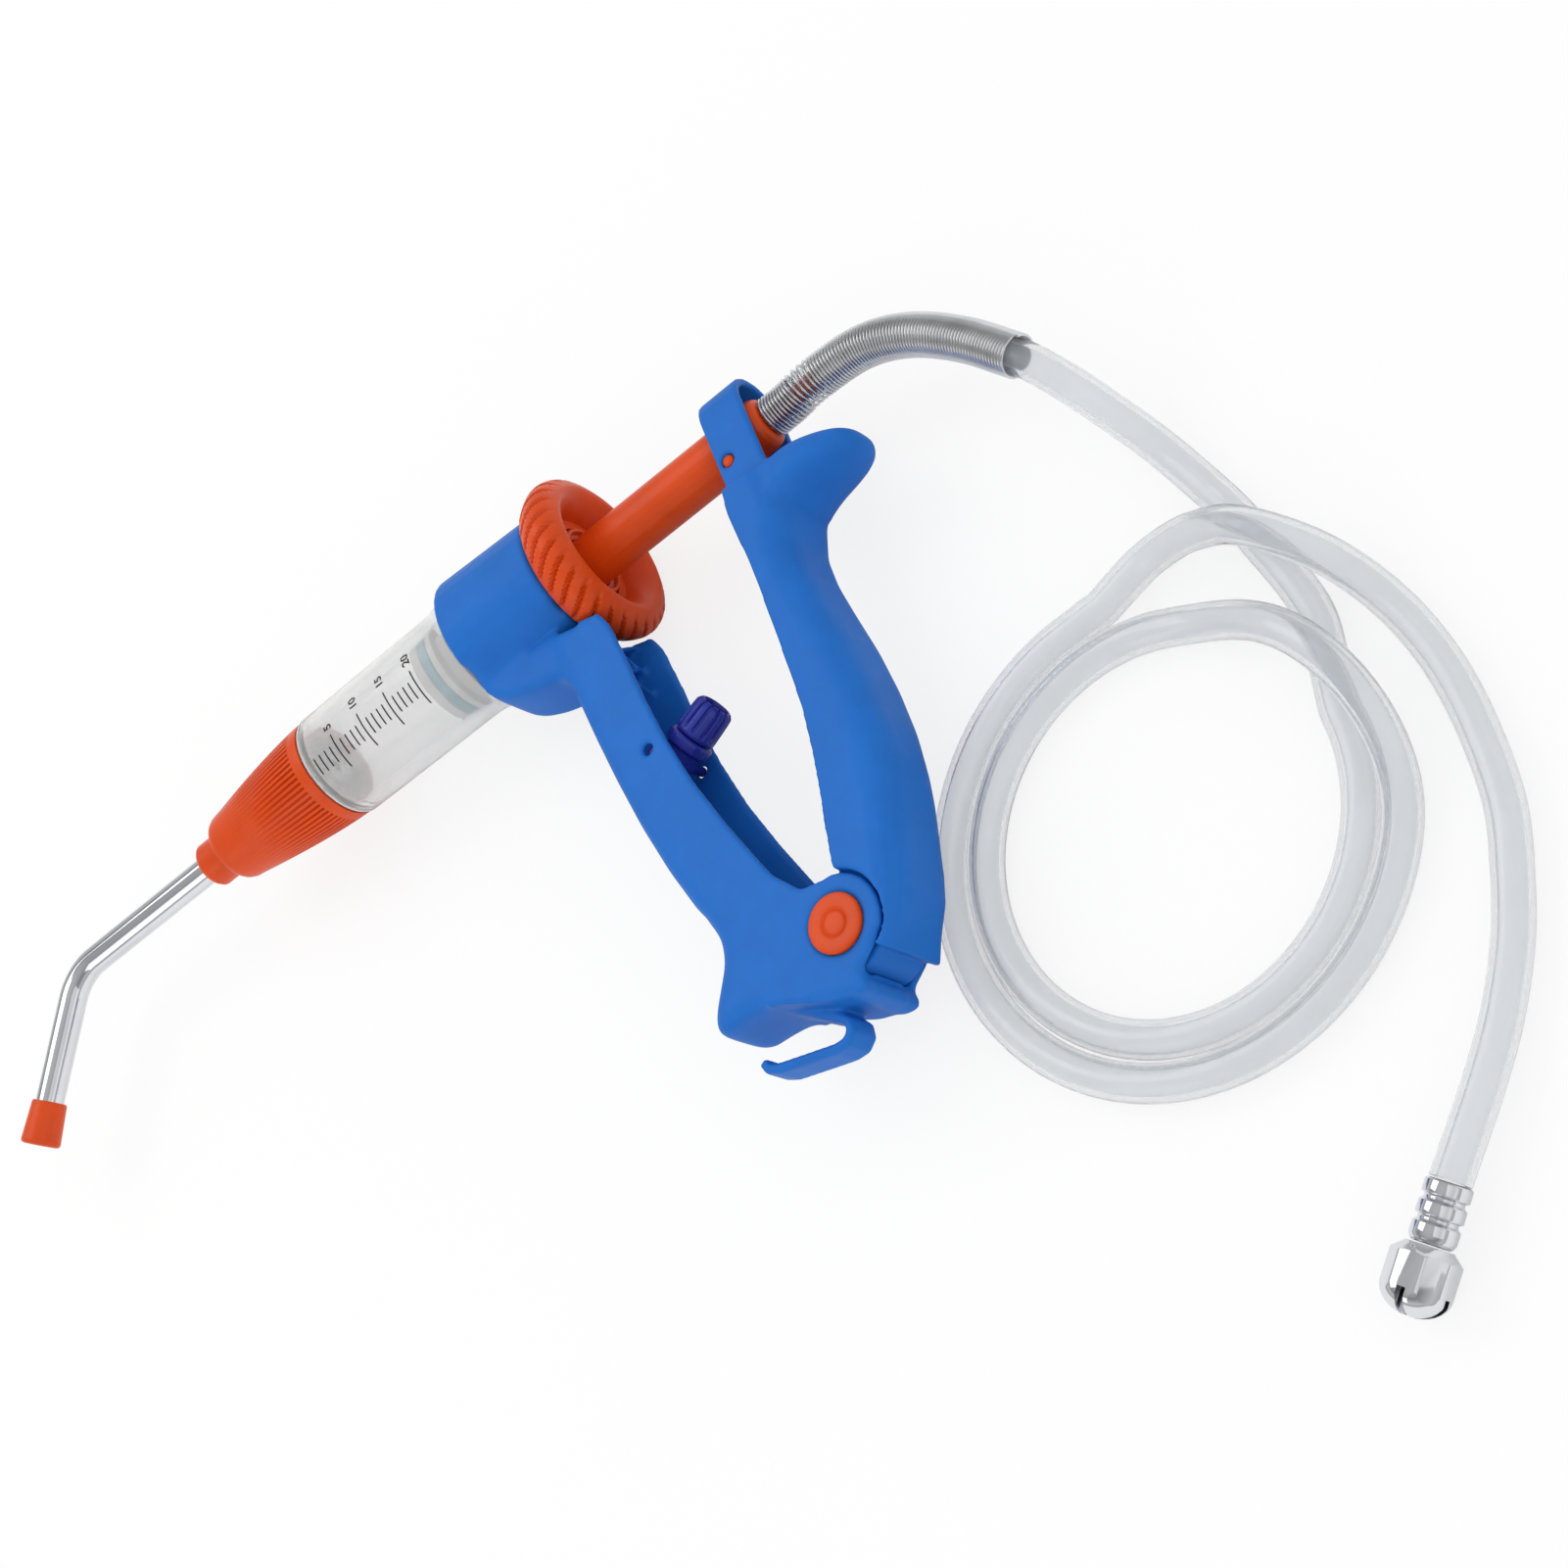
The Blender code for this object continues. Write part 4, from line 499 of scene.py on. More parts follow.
def sweep(points: Sequence[Vector], radii: Sequence[float], sides: int, wall: float = 0.0) -> Mesh:
    """Carries a circle along a route.

    Args:
        points: The route in metres.
        radii: The radius at each point in metres.
        sides: Sides of the circle.
        wall: Thickness of the wall of a hollow tube, or 0 for a solid one.

    Returns:
        The tube.
    """
    bm = bmesh.new()
    frames = [matrix @ Matrix.Scale(radius, 4) for matrix, radius in zip(frames_along(points), radii)]
    ring = bmesh.ops.create_circle(bm, segments=sides, radius=1.0, cap_ends=not wall)["verts"]
    edges = list(bm.edges)
    bmesh.ops.transform(bm, matrix=frames[0], verts=ring)
    for before, after in zip(frames, frames[1:]):
        made = bmesh.ops.extrude_edge_only(bm, edges=edges)["geom"]
        edges = [item for item in made if isinstance(item, bmesh.types.BMEdge)]
        ring = [item for item in made if isinstance(item, bmesh.types.BMVert)]
        bmesh.ops.transform(bm, matrix=after @ before.inverted(), verts=ring)
    if wall:
        bmesh.ops.recalc_face_normals(bm, faces=bm.faces)
        bmesh.ops.solidify(bm, geom=bm.faces[:], thickness=wall)
    else:
        bmesh.ops.contextual_create(bm, geom=edges)
    return bm


def linked(name: str, data: bpy.types.ID) -> Piece:
    """Makes an object and puts it in the scene.

    Args:
        name: Its name.
        data: Its mesh, curve, camera or lamp.

    Returns:
        The object.
    """
    made = bpy.data.objects.new(name, data)
    bpy.context.scene.collection.objects.link(made)
    return made


def settle(
    name: str,
    bm: Mesh,
    body: str | None,
    finish: Finish,
    axis: Axis | None = None,
    replaces: Iterable[str] = (),
    soften_mm: float = 0.0,
    angle: float = 40.0,
) -> Piece:
    """Makes a finished piece from a mesh.

    Args:
        name: The piece's name.
        bm: Its mesh, in the model's frame unless an axis is given.
        body: The body that it rides on, or None where it rides on none.
        finish: Its finish.
        axis: The line that a turned mesh is set on.
        replaces: The plain solids that it stands for.
        soften_mm: Width of the rounding of its sharp edges.
        angle: Edges turning by more than this many degrees stay sharp.

    Returns:
        The piece's object.
    """
    if axis:
        bmesh.ops.transform(bm, matrix=axis.matrix(), verts=bm.verts)
    bmesh.ops.recalc_face_normals(bm, faces=bm.faces)
    mesh = bpy.data.meshes.new(name)
    bm.to_mesh(mesh)
    bm.free()
    mesh.shade_smooth()
    if not soften_mm:
        mesh.set_sharp_from_angle(angle=math.radians(angle))
    mesh.materials.append(finish.material())
    piece = linked(name, mesh)
    if soften_mm:
        bevel = piece.modifiers.new("soft edges", "BEVEL")
        bevel.width = soften_mm * MM
        bevel.segments = 2
        bevel.limit_method = "ANGLE"
        bevel.angle_limit = math.radians(angle)
    if body:
        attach(piece, body)
    nodes = tuple(replaces)
    if nodes:
        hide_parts(*nodes)
    LOG.info("%s: %d faces, stands for %s", name, len(mesh.polygons), ", ".join(nodes) or "nothing")
    return piece


def dress(finish: Finish, *nodes: str) -> None:
    """Gives solids that stay as they are their finish.

    Args:
        finish: The finish.
        nodes: The solids' names.
    """
    for node in nodes:
        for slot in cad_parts[node].material_slots:
            slot.material = finish.material()
        LOG.info("%s: %s", node, finish.name)


def taken(draft: Piece) -> Mesh:
    """Takes a draft's final mesh.

    Args:
        draft: The draft, which is removed.

    Returns:
        The mesh.
    """
    bpy.context.view_layer.update()
    made = bmesh.new()
    made.from_mesh(draft.evaluated_get(bpy.context.evaluated_depsgraph_get()).to_mesh())
    bpy.data.objects.remove(draft, do_unlink=True)
    return made


def baked(bm: Mesh, *modifiers: tuple[str, Mapping[str, Any]]) -> Mesh:
    """Applies modifiers to a mesh.

    Args:
        bm: The mesh, which is freed.
        modifiers: The type and the settings of each.

    Returns:
        The new mesh.
    """
    draft = linked("draft", bpy.data.meshes.new("draft"))
    bm.to_mesh(draft.data)
    bm.free()
    for kind, settings in modifiers:
        added = draft.modifiers.new(kind.lower(), kind)
        for key, value in settings.items():
            setattr(added, key, value)
    return taken(draft)


def carved(bm: Mesh, cuts: Sequence[Mesh]) -> Mesh:
    """Cuts closed meshes from a closed mesh.

    Args:
        bm: The mesh to cut, which is freed.
        cuts: The meshes to cut away, which are freed.

    Returns:
        The cut mesh.
    """
    for cut in cuts:
        bmesh.ops.recalc_face_normals(cut, faces=cut.faces)
        knife = linked("knife", bpy.data.meshes.new("knife"))
        cut.to_mesh(knife.data)
        cut.free()
        bm = baked(bm, ("BOOLEAN", {"object": knife, "operation": "DIFFERENCE", "solver": "EXACT"}))
        bpy.data.objects.remove(knife, do_unlink=True)
    return bm


@dataclass(frozen=True)
class Softening:
    """A region of a moulding whose edges and corners are rounder than the rest."""

    holds: Callable[[float, float, float], bool]
    passes: int


def moulded(
    name: str,
    node: str,
    body: str,
    finish: Finish,
    voxel_mm: float = 0.53,
    passes: int = 12,
    rounder: Sequence[Softening] = (),
    cuts: Sequence[Mesh] = (),
) -> Piece:
    """Makes a smooth, round-edged moulding of a solid's form.

    Args:
        name: The piece's name.
        node: The solid that it stands for.
        body: The body that it rides on.
        finish: Its finish.
        voxel_mm: Size of the even mesh that the form is given.
        passes: How often that mesh is smoothed.
        rounder: Regions that are smoothed more.
        cuts: Meshes to cut from the form first.

    Returns:
        The piece's object.
    """
    bm = bmesh.new()
    bm.from_mesh(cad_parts[node].data)
    bmesh.ops.remove_doubles(bm, verts=bm.verts, dist=1e-6)
    bm = carved(bm, cuts)
    even = ("REMESH", {"mode": "VOXEL", "voxel_size": voxel_mm * MM})
    bm = baked(bm, even, ("SMOOTH", {"factor": 0.5, "iterations": passes}))
    for region in rounder:
        inside = [vert for vert in bm.verts if region.holds(*((vert.co - PIVOT) / MM))]
        for _ in range(region.passes):
            bmesh.ops.smooth_vert(
                bm, verts=inside, factor=0.5, use_axis_x=True, use_axis_y=True, use_axis_z=True
            )
    return settle(name, bm, body, finish, replaces=[node], angle=180.0)


@dataclass
class Hose:
    """The supply hose with its spring sleeve, its ferrule and its sinker."""

    radius: float = 4.5
    bore: float = 3.0
    gripped: float = 4.18
    sides: int = 36
    ring_spacing: float = 1.8
    span_points: int = 12
    wire_radius: float = 0.4
    curl_radius: float = 5.2
    curls: int = 78
    curl_points: int = 18
    spread_curls: Span = (9.5, 13.5)
    spread: float = 1.75
    barb_crest: float = 2.6
    barb_root: float = 2.2
    coil_centre: Point = (69.5, -11.0)
    coil_radius: float = 47.3
    coil_step: float = 9.6
    step_start: float = 300.0
    step_span: float = 90.0
    coil_degrees: float = 630.0
    coil_points: int = 210
    lie: float = 4.55
    crossing_rise: float = 10.2
    crossing_middle: float = 346.0
    crossing_reach: float = 50.0
    ferrule_length: float = 13.0
    ferrule_rings: int = 3
    seam: float = 0.3
    sinker_length: float = 14.6
    sinker_radius: float = 7.5
    sinker_flat: float = 7.05
    dome_start: float = 9.05
    dome_length: float = 5.55
    slot_width: float = 1.9
    slot_depth: float = 5.5
    sleeve_route: Sequence[Point] = (
        (29.7, 136.1), (35.7, 136.1), (43.9, 136.9), (59.1, 135.4),
        (71.7, 129.0), (83.4, 117.6), (93.5, 103.8),
    )
    lead_route: Sequence[Triple] = (
        (99.7, 92.7, 18.8), (104.0, 83.0, 11.8), (108.0, 73.1, 6.8),
        (112.1, 60.7, 4.6), (116.2, 47.1, 4.6), (119.0, 33.7, 4.6),
        (121.3, 21.1, 4.6), (121.9, 11.1, 4.6), (119.6, 0.4, 4.6),
    )
    tail_route: Sequence[Triple] = (
        (91.8, 48.5, 5.8), (102.5, 46.4, 9.4), (109.6, 43.1, 12.1), (117.1, 37.7, 14.9),
        (124.6, 29.6, 14.2), (131.3, 20.4, 9.9), (136.3, 9.4, 5.9), (139.9, -3.8, 4.6),
        (141.6, -18.4, 4.6), (141.0, -34.4, 4.6), (138.4, -50.4, 4.6), (133.2, -63.6, 4.6),
        (126.5, -76.5, 4.6), (117.5, -89.3, 5.2), (107.4, -100.6, 6.4), (93.0, -114.5, 7.6),
    )

    def coil_point(self, degrees: float) -> Vector:
        """Gives a point of the coil's middle line.

        Args:
            degrees: Turned clockwise from the coil's start on its +X side.

        Returns:
            The point.
        """
        share = clamped((degrees - self.step_start) / self.step_span)
        radius = self.coil_radius + self.coil_step * share * share * (3 - 2 * share)
        off = (degrees - self.crossing_middle) / self.crossing_reach
        rise = self.crossing_rise * (1 + math.cos(math.pi * off)) / 2 if abs(off) < 1 else 0.0
        turn = -math.radians(degrees)
        x, y = self.coil_centre
        return place(x + radius * math.cos(turn), y + radius * math.sin(turn), FLOOR + self.lie + rise)

    def sleeve_line(self) -> list[Vector]:
        """Gives the middle line inside the spring sleeve.

        Returns:
            Its points.
        """
        return smooth_curve([place(x, y) for x, y in self.sleeve_route], self.span_points)

    def middle_line(self) -> tuple[list[Vector], int]:
        """Gives the hose's whole middle line.

        Returns:
            Its points, and how many of them are inside the spring sleeve.
        """
        steps, count = self.span_points, self.coil_points
        coil = [self.coil_point(self.coil_degrees * step / count) for step in range(count + 1)]
        end = coil[-1] + (coil[-1] - coil[-2]).normalized() * 9 * MM
        falling = [place(x, y, FLOOR + z) for x, y, z in self.lead_route]
        running = [place(x, y, FLOOR + z) for x, y, z in self.tail_route]
        inside = [place(x, y) for x, y in self.sleeve_route]
        lead = smooth_curve([*inside, *falling, coil[0], coil[2]], steps)[:-steps]
        mouth = (len(inside) - 1) * steps
        within = spaced(lead[: mouth + 1], self.ring_spacing * MM)
        tail = smooth_curve([end, *running], steps)
        free = spaced([*lead[mouth:], *coil[1:], *tail], self.ring_spacing * MM)
        return [*within, *free[1:]], len(within)

    def build_tube(self, fittings: Sequence[Piece]) -> None:
        """Makes the clear tube, which bends between the rod and the coil.

        Args:
            fittings: The pieces on the hose's far end. Not used.
        """
        points, gripped = self.middle_line()
        radii = [self.gripped * MM if i < gripped else self.radius * MM for i in range(len(points))]
        bm = sweep(points, radii, self.sides, (self.radius - self.bore) * MM)
        nodes = ["hose_lead", "hose_coil", "hose_tail"]
        tube = settle("supply_hose", bm, None, HOSE, replaces=nodes, angle=60)
        length = sum((b - a).length for a, b in zip(points, points[1:]))
        LOG.info("supply_hose: %.3f m long", length)
        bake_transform(tube)

    def build_sleeve(self) -> None:
        """Makes the closely wound spring sleeve, with a few spread curls near the rod."""
        line = spaced(self.sleeve_line(), 0.5 * MM)
        frames = frames_along(line)
        first, last = self.spread_curls
        shares = [0.0]
        for step in range(self.curls * self.curl_points):
            shares.append(shares[-1] + (self.spread if first < step / self.curl_points < last else 1.0))
        wire = []
        for step, share in enumerate(shares):
            exact = share / shares[-1] * (len(line) - 1)
            low = min(int(exact), len(line) - 2)
            centre = line[low].lerp(line[low + 1], exact - low)
            turn = math.tau * step / self.curl_points
            offset = frames[low].to_3x3() @ Vector((math.cos(turn), math.sin(turn), 0.0))
            wire.append(centre + offset * self.curl_radius * MM)
        bm = sweep(wire, [self.wire_radius * MM] * len(wire), 8)
        settle("spring_sleeve", bm, "plunger", STEEL, replaces=["hose_spring_sleeve"], angle=70)
        barb = spaced(self.sleeve_line(), 1.0 * MM)[:17]
        radii = [(self.barb_crest if step % 4 else self.barb_root) * MM for step in range(len(barb))]
        settle("rod_barb_ribbed", sweep(barb, radii, 24), "plunger", ORANGE, angle=60)

    def far_axis(self) -> Axis:
        """Gives the line of the ferrule and the sinker.

        Returns:
            The line from the hose's end outwards.
        """
        end = smooth_curve([place(x, y, FLOOR + z) for x, y, z in self.tail_route], 8)
        out = end[-1] - end[-2]
        out.z = 0
        out.normalize()
        return Axis(end[-1] + out * self.seam * MM, out)

    def build_fittings(self) -> list[Piece]:
        """Makes the ringed ferrule and the slotted sinker.

        Returns:
            The two pieces.
        """
        axis = self.far_axis()
        long, rings = self.ferrule_length, self.ferrule_rings
        profile: list[Point] = [(0, 0), (0, 4.5)]
        for ring in range(rings):
            low, high = long * ring / rings, long * (ring + 1) / rings
            profile += [(low + 0.35, 5.0), (high - 1.35, 5.0)]
            if ring < rings - 1:
                profile += [(high - 1.0, 4.2), (high - 0.3, 4.2), (high, 4.5)]
        profile += [(12.5, 4.6), (long, 4.1), (long, 0)]
        bm = lathe(profile, 48)
        ferrule = settle("hose_ferrule_rings", bm, "syringe_body", CHROME, axis, ["hose_ferrule"], 0.15)
        after = Axis(axis.centre + axis.direction * (long + self.seam) * MM, axis.direction)
        return [ferrule, self.build_sinker(after)]

    def build_sinker(self, axis: Axis) -> Piece:
        """Makes the sinker with its eight flats and its crossed slots.

        Args:
            axis: The line from its ferrule outwards.

        Returns:
            The sinker.
        """
        radius, dome = self.sinker_radius, self.dome_start
        profile: list[Point] = [(0, 0), (0, 5.1), (0.3, 5.3), (2.2, radius), (dome, radius)]
        for t in (0.2, 0.4, 0.6, 0.8, 1.0, 1.2, 1.4):
            profile.append((dome + self.dome_length * math.sin(t), radius * math.cos(t)))
        profile.append((self.sinker_length, 0))
        bm = lathe(profile, 64)
        for side in range(8):
            turn = math.tau * side / 8
            normal = Vector((0, math.cos(turn), math.sin(turn)))
            flat_at = normal * self.sinker_flat * MM
            whole = [*bm.verts, *bm.edges, *bm.faces]
            cut = bmesh.ops.bisect_plane(bm, geom=whole, plane_co=flat_at, plane_no=normal, clear_outer=True)
            rim = [item for item in cut["geom_cut"] if isinstance(item, bmesh.types.BMEdge)]
            bmesh.ops.contextual_create(bm, geom=rim)
        bmesh.ops.transform(bm, matrix=axis.matrix(), verts=bm.verts)
        bmesh.ops.recalc_face_normals(bm, faces=bm.faces)
        slots = []
        upright = Vector((0, 0, 1))
        high = 10.0
        middle = axis.centre + axis.direction * (self.sinker_length - self.slot_depth + high / 2) * MM
        for flat in (axis.direction.cross(upright), upright):
            slot = bmesh.new()
            bmesh.ops.create_cube(slot, size=1.0)
            bmesh.ops.scale(slot, vec=(20 * MM, self.slot_width * MM, high * MM), verts=slot.verts)
            turn = Matrix((flat, axis.direction.cross(flat), axis.direction)).transposed().to_4x4()
            bmesh.ops.transform(slot, matrix=Matrix.Translation(middle) @ turn, verts=slot.verts)
            slots.append(slot)
        bm = carved(bm, slots)
        return settle("sinker_faceted", bm, "syringe_body", CHROME, replaces=["sinker_head"], angle=25)


@dataclass
class Nozzle:
    """The fluted nose cone, the bent drench tube and its tip."""

    cone_rear: float = -128.7
    cone_length: float = 42.0
    rear_radius: float = 15.0
    shoulder_radius: float = 9.5
    collar_radius: float = 6.6
    grooves: Grooves = Grooves(60, 0.75, -158.0, 22.0, -132.1, 0.3, 9.5, width=0.45)
    tube_radius: float = 4.0
    tube_wall: float = 1.0
    bend_x: float = -235.7
    bend_radius: float = 15.0
    bend_degrees: float = 54.0
    leg: float = 47.4

    def build_cone(self) -> None:
        """Makes the cone with its grooves, its step and its front collar."""
        fall = self.rear_radius - self.shoulder_radius
        profile: list[Point] = [(self.cone_rear, 9.8), (self.cone_rear, self.rear_radius)]
        shares = [0.01, 0.04, 0.078, 0.083, 0.088, 0.1, 0.14, 0.2, 0.26, 0.32, 0.38, 0.44, 0.5, 0.56]
        for share in [*shares, 0.64, 0.72, 0.8, 0.88]:
            profile.append((self.cone_rear - self.cone_length * share, self.rear_radius - fall * share**1.45))
        shoulder = self.cone_rear - self.cone_length
        profile += [(shoulder + 2.4, 10.05), (shoulder + 1.1, 9.5), (shoulder + 0.3, 8.8), (shoulder, 8.0)]
        profile += [(shoulder, 7.3), (shoulder - 1.4, 6.7), (shoulder - 2.0, self.collar_radius)]
        profile += [(shoulder - 7.3, self.collar_radius), (shoulder - 8.2, 5.9), (shoulder - 8.2, 4.3)]
        profile += [(-150.0, 4.3), (-146.0, 7.7), (-142.7, 7.7), (-142.7, 9.8)]
        bm = lathe(profile, 720, closed=True)
        self.grooves.press(bm)
        settle("nose_cone_fluted", bm, "syringe_body", ORANGE, BARREL_AXIS, ["nose_cone"], angle=32)

    def build_tube(self) -> None:
        """Makes the bent tube with its open end, and the soft tip round it."""
        corner = place(self.bend_x, AXIS_HEIGHT)
        angle = math.radians(self.bend_degrees)
        setback = self.bend_radius * math.tan(angle / 2) * MM
        centre = corner + Vector((setback, -self.bend_radius * MM, 0))
        points = [place(x, AXIS_HEIGHT) for x in (-147.0, -160.0, -180.0, -200.0, -215.0)]
        for step in range(25):
            turn = angle * step / 24
            points.append(centre + self.bend_radius * MM * Vector((-math.sin(turn), math.cos(turn), 0)))
        down = Vector((-math.cos(angle), -math.sin(angle), 0))
        points += [corner + down * reach * MM for reach in (20.0, 34.0, self.leg)]
        bm = sweep(points, [self.tube_radius * MM] * len(points), 40, self.tube_wall * MM)
        settle("drench_tube_polished", bm, "syringe_body", CHROME, replaces=["drench_tube"], angle=50)
        axis = Axis(corner + down * self.leg * MM, down)
        profile = [(-10.4, 4.35), (-10.4, 4.6), (-10.1, 4.85), (-9.6, 4.92), (0.2, 5.5), (0.6, 5.55)]
        profile += [(1.3, 5.5), (1.8, 5.1), (2.0, 4.4), (2.0, 2.8), (1.7, 2.6), (0.3, 2.6), (0.3, 4.3)]
        settle("tube_tip_soft", lathe(profile, 48, True), "syringe_body", ORANGE, axis, ["tube_tip"], 0.12)

    def build(self) -> None:
        """Builds the nozzle."""
        self.build_cone()
        self.build_tube()
        dress(VALVE, "outlet_seat", "outlet_valve", "nozzle_washer")
        dress(STEEL, "outlet_spring")


@dataclass
class Barrel:
    """The frosted barrel with its printed scale."""

    front: float = -128.4
    rear: float = -50.0
    outer_front: float = 15.3
    outer_rear: float = 15.9
    bore: float = 12.6
    first_mark: float = -126.4
    per_ml: float = 2.005
    marks: int = 20
    long_mark: Span = (49.0, 11.2)
    short_mark: Span = (38.0, 20.2)
    mark_radius: float = 15.6
    stroke_width: float = 0.42
    ink_proud: float = 0.04
    digit_height: float = 3.5
    digit_degrees: float = 5.0

    def outer(self, x: float) -> float:
        """Gives the barrel's outer radius, which its draft widens.

        Args:
            x: The distance along the axis.

        Returns:
            The radius.
        """
        gain = self.outer_rear - self.outer_front
        return self.outer_front + gain * (x - self.front) / (self.rear - self.front)

    def wrap(self, bm: Mesh, x: float, degrees: float) -> None:
        """Lays a flat mesh round the barrel.

        Args:
            bm: The mesh in the X-Y plane, in millimetres, X running up round the barrel.
            x: The place of its origin along the barrel.
            degrees: The place of its origin round the barrel, from the top towards the handles.
        """
        for vert in bm.verts:
            along = x - vert.co.y
            radius = self.outer(along) + self.ink_proud
            turn = math.radians(degrees) - vert.co.x / radius
            reach = radius + vert.co.z
            vert.co = place(along, AXIS_HEIGHT - reach * math.sin(turn), reach * math.cos(turn))

    def build_scale(self) -> None:
        """Makes the ticks and the numbers, printed on the barrel's upper side."""
        for mark in range(1, self.marks + 1):
            x = self.first_mark + self.per_ml * mark
            major = mark % 5 == 0
            low, high = self.long_mark if major else self.short_mark
            length = math.radians(low - high) * self.mark_radius
            bm = bmesh.new()
            bmesh.ops.create_grid(bm, x_segments=14, y_segments=1, size=0.5)
            bmesh.ops.scale(bm, vec=(length, self.stroke_width, 1.0), verts=bm.verts)
            bmesh.ops.translate(bm, vec=(length / 2, 0, 0), verts=bm.verts)
            bmesh.ops.solidify(bm, geom=bm.faces[:], thickness=0.03)
            self.wrap(bm, x, low)
            settle(f"scale_tick_{mark:02d}", bm, "syringe_body", INK, angle=60)
            if major:
                self.build_number(str(mark), x)

    def build_number(self, digits: str, x: float) -> None:
        """Makes one number of the scale.

        Args:
            digits: The number.
            x: The place of its tick along the barrel.
        """
        curve = bpy.data.curves.new(f"digits {digits}", "FONT")
        curve.body = digits
        curve.size = self.digit_height
        curve.extrude = 0.015
        curve.offset = 0.07
        curve.align_y = "CENTER"
        bm = taken(linked(f"digits {digits}", curve))
        bmesh.ops.remove_doubles(bm, verts=bm.verts, dist=1e-4)
        bmesh.ops.triangulate(bm, faces=bm.faces)
        self.wrap(bm, x, self.digit_degrees)
        settle(f"scale_number_{digits}", bm, "syringe_body", INK, angle=60)

    def build(self) -> None:
        """Builds the barrel."""
        front, rear, outer, bore = self.front, self.rear, self.outer_rear, self.bore
        wall = front + 1.6
        profile = [(-142.4, 9.0), (-142.0, 9.4), (front, 9.4), (front, 14.3), (front + 0.25, 14.9)]
        profile += [(front + 0.8, 15.25), (front + 1.7, 15.32), (front + 2.0, 15.2), (front + 2.3, 15.34)]
        profile += [(-80.0, 15.67), (-77.5, 15.85), (-75.0, 16.4), (-73.0, 17.2), (-71.7, 17.9)]
        profile += [(-71.4, 17.7), (-71.4, 15.75), (rear - 0.3, outer), (rear, outer - 0.3)]
        profile += [(rear, bore + 0.4), (rear - 0.5, bore), (wall + 1.2, bore), (wall + 0.35, bore - 0.35)]
        profile += [(wall, bore - 1.2), (wall, 2.6), (front, 2.6), (front, 5.2), (-142.4, 5.2)]
        bm = lathe(profile, 128, closed=True)
        settle("barrel_frosted", bm, "syringe_body", FROSTED, BARREL_AXIS, ["barrel"], angle=35)
        self.build_scale()


@dataclass
class Plunger:
    """The rod with its lug, the piston and its seal."""

    piston_front: float = -86.606
    outer: float = 12.3

    def build(self) -> None:
        """Builds the plunger."""
        moulded("plunger_rod_smooth", "plunger_rod", "plunger", ORANGE, 0.38, 6)
        front, outer = self.piston_front, self.outer
        profile = [(front, 11.9), (front + 0.4, outer), (front + 2.7, outer), (front + 2.9, 12.1)]
        profile += [(front + 2.9, 10.3), (front + 6.1, 10.3), (front + 6.1, 12.1), (front + 6.3, outer)]
        profile += [(front + 8.1, outer), (front + 8.3, 12.0), (front + 8.4, 9.6), (front + 8.8, 9.2)]
        profile += [(front + 15.1, 9.2), (front + 15.5, 8.8), (front + 15.5, 5.5), (front + 10.2, 5.5)]
        profile += [(front + 10.2, 2.6), (front + 8.0, 2.6), (front + 8.0, 5.2), (front, 5.2)]
        settle("piston_turned", lathe(profile, 96, True), "plunger", PALE, BARREL_AXIS, ["piston"], angle=35)
        low, high = front + 3.2, front + 5.8
        lip = [(low, 10.6), (low, 12.1), (low + 0.3, 12.45), (low + 0.8, 12.47), (low + 1.1, 12.3)]
        lip += [(high - 1.1, 12.3), (high - 0.8, 12.47), (high - 0.3, 12.45), (high, 12.1), (high, 10.6)]
        seal = lathe(lip, 96, True)
        settle("piston_seal_lipped", seal, "plunger", SEAL, BARREL_AXIS, ["piston_seal"], angle=60)
        dress(VALVE, "inlet_valve")
        dress(PALE, "inlet_cage")
        dress(STEEL, "inlet_spring")


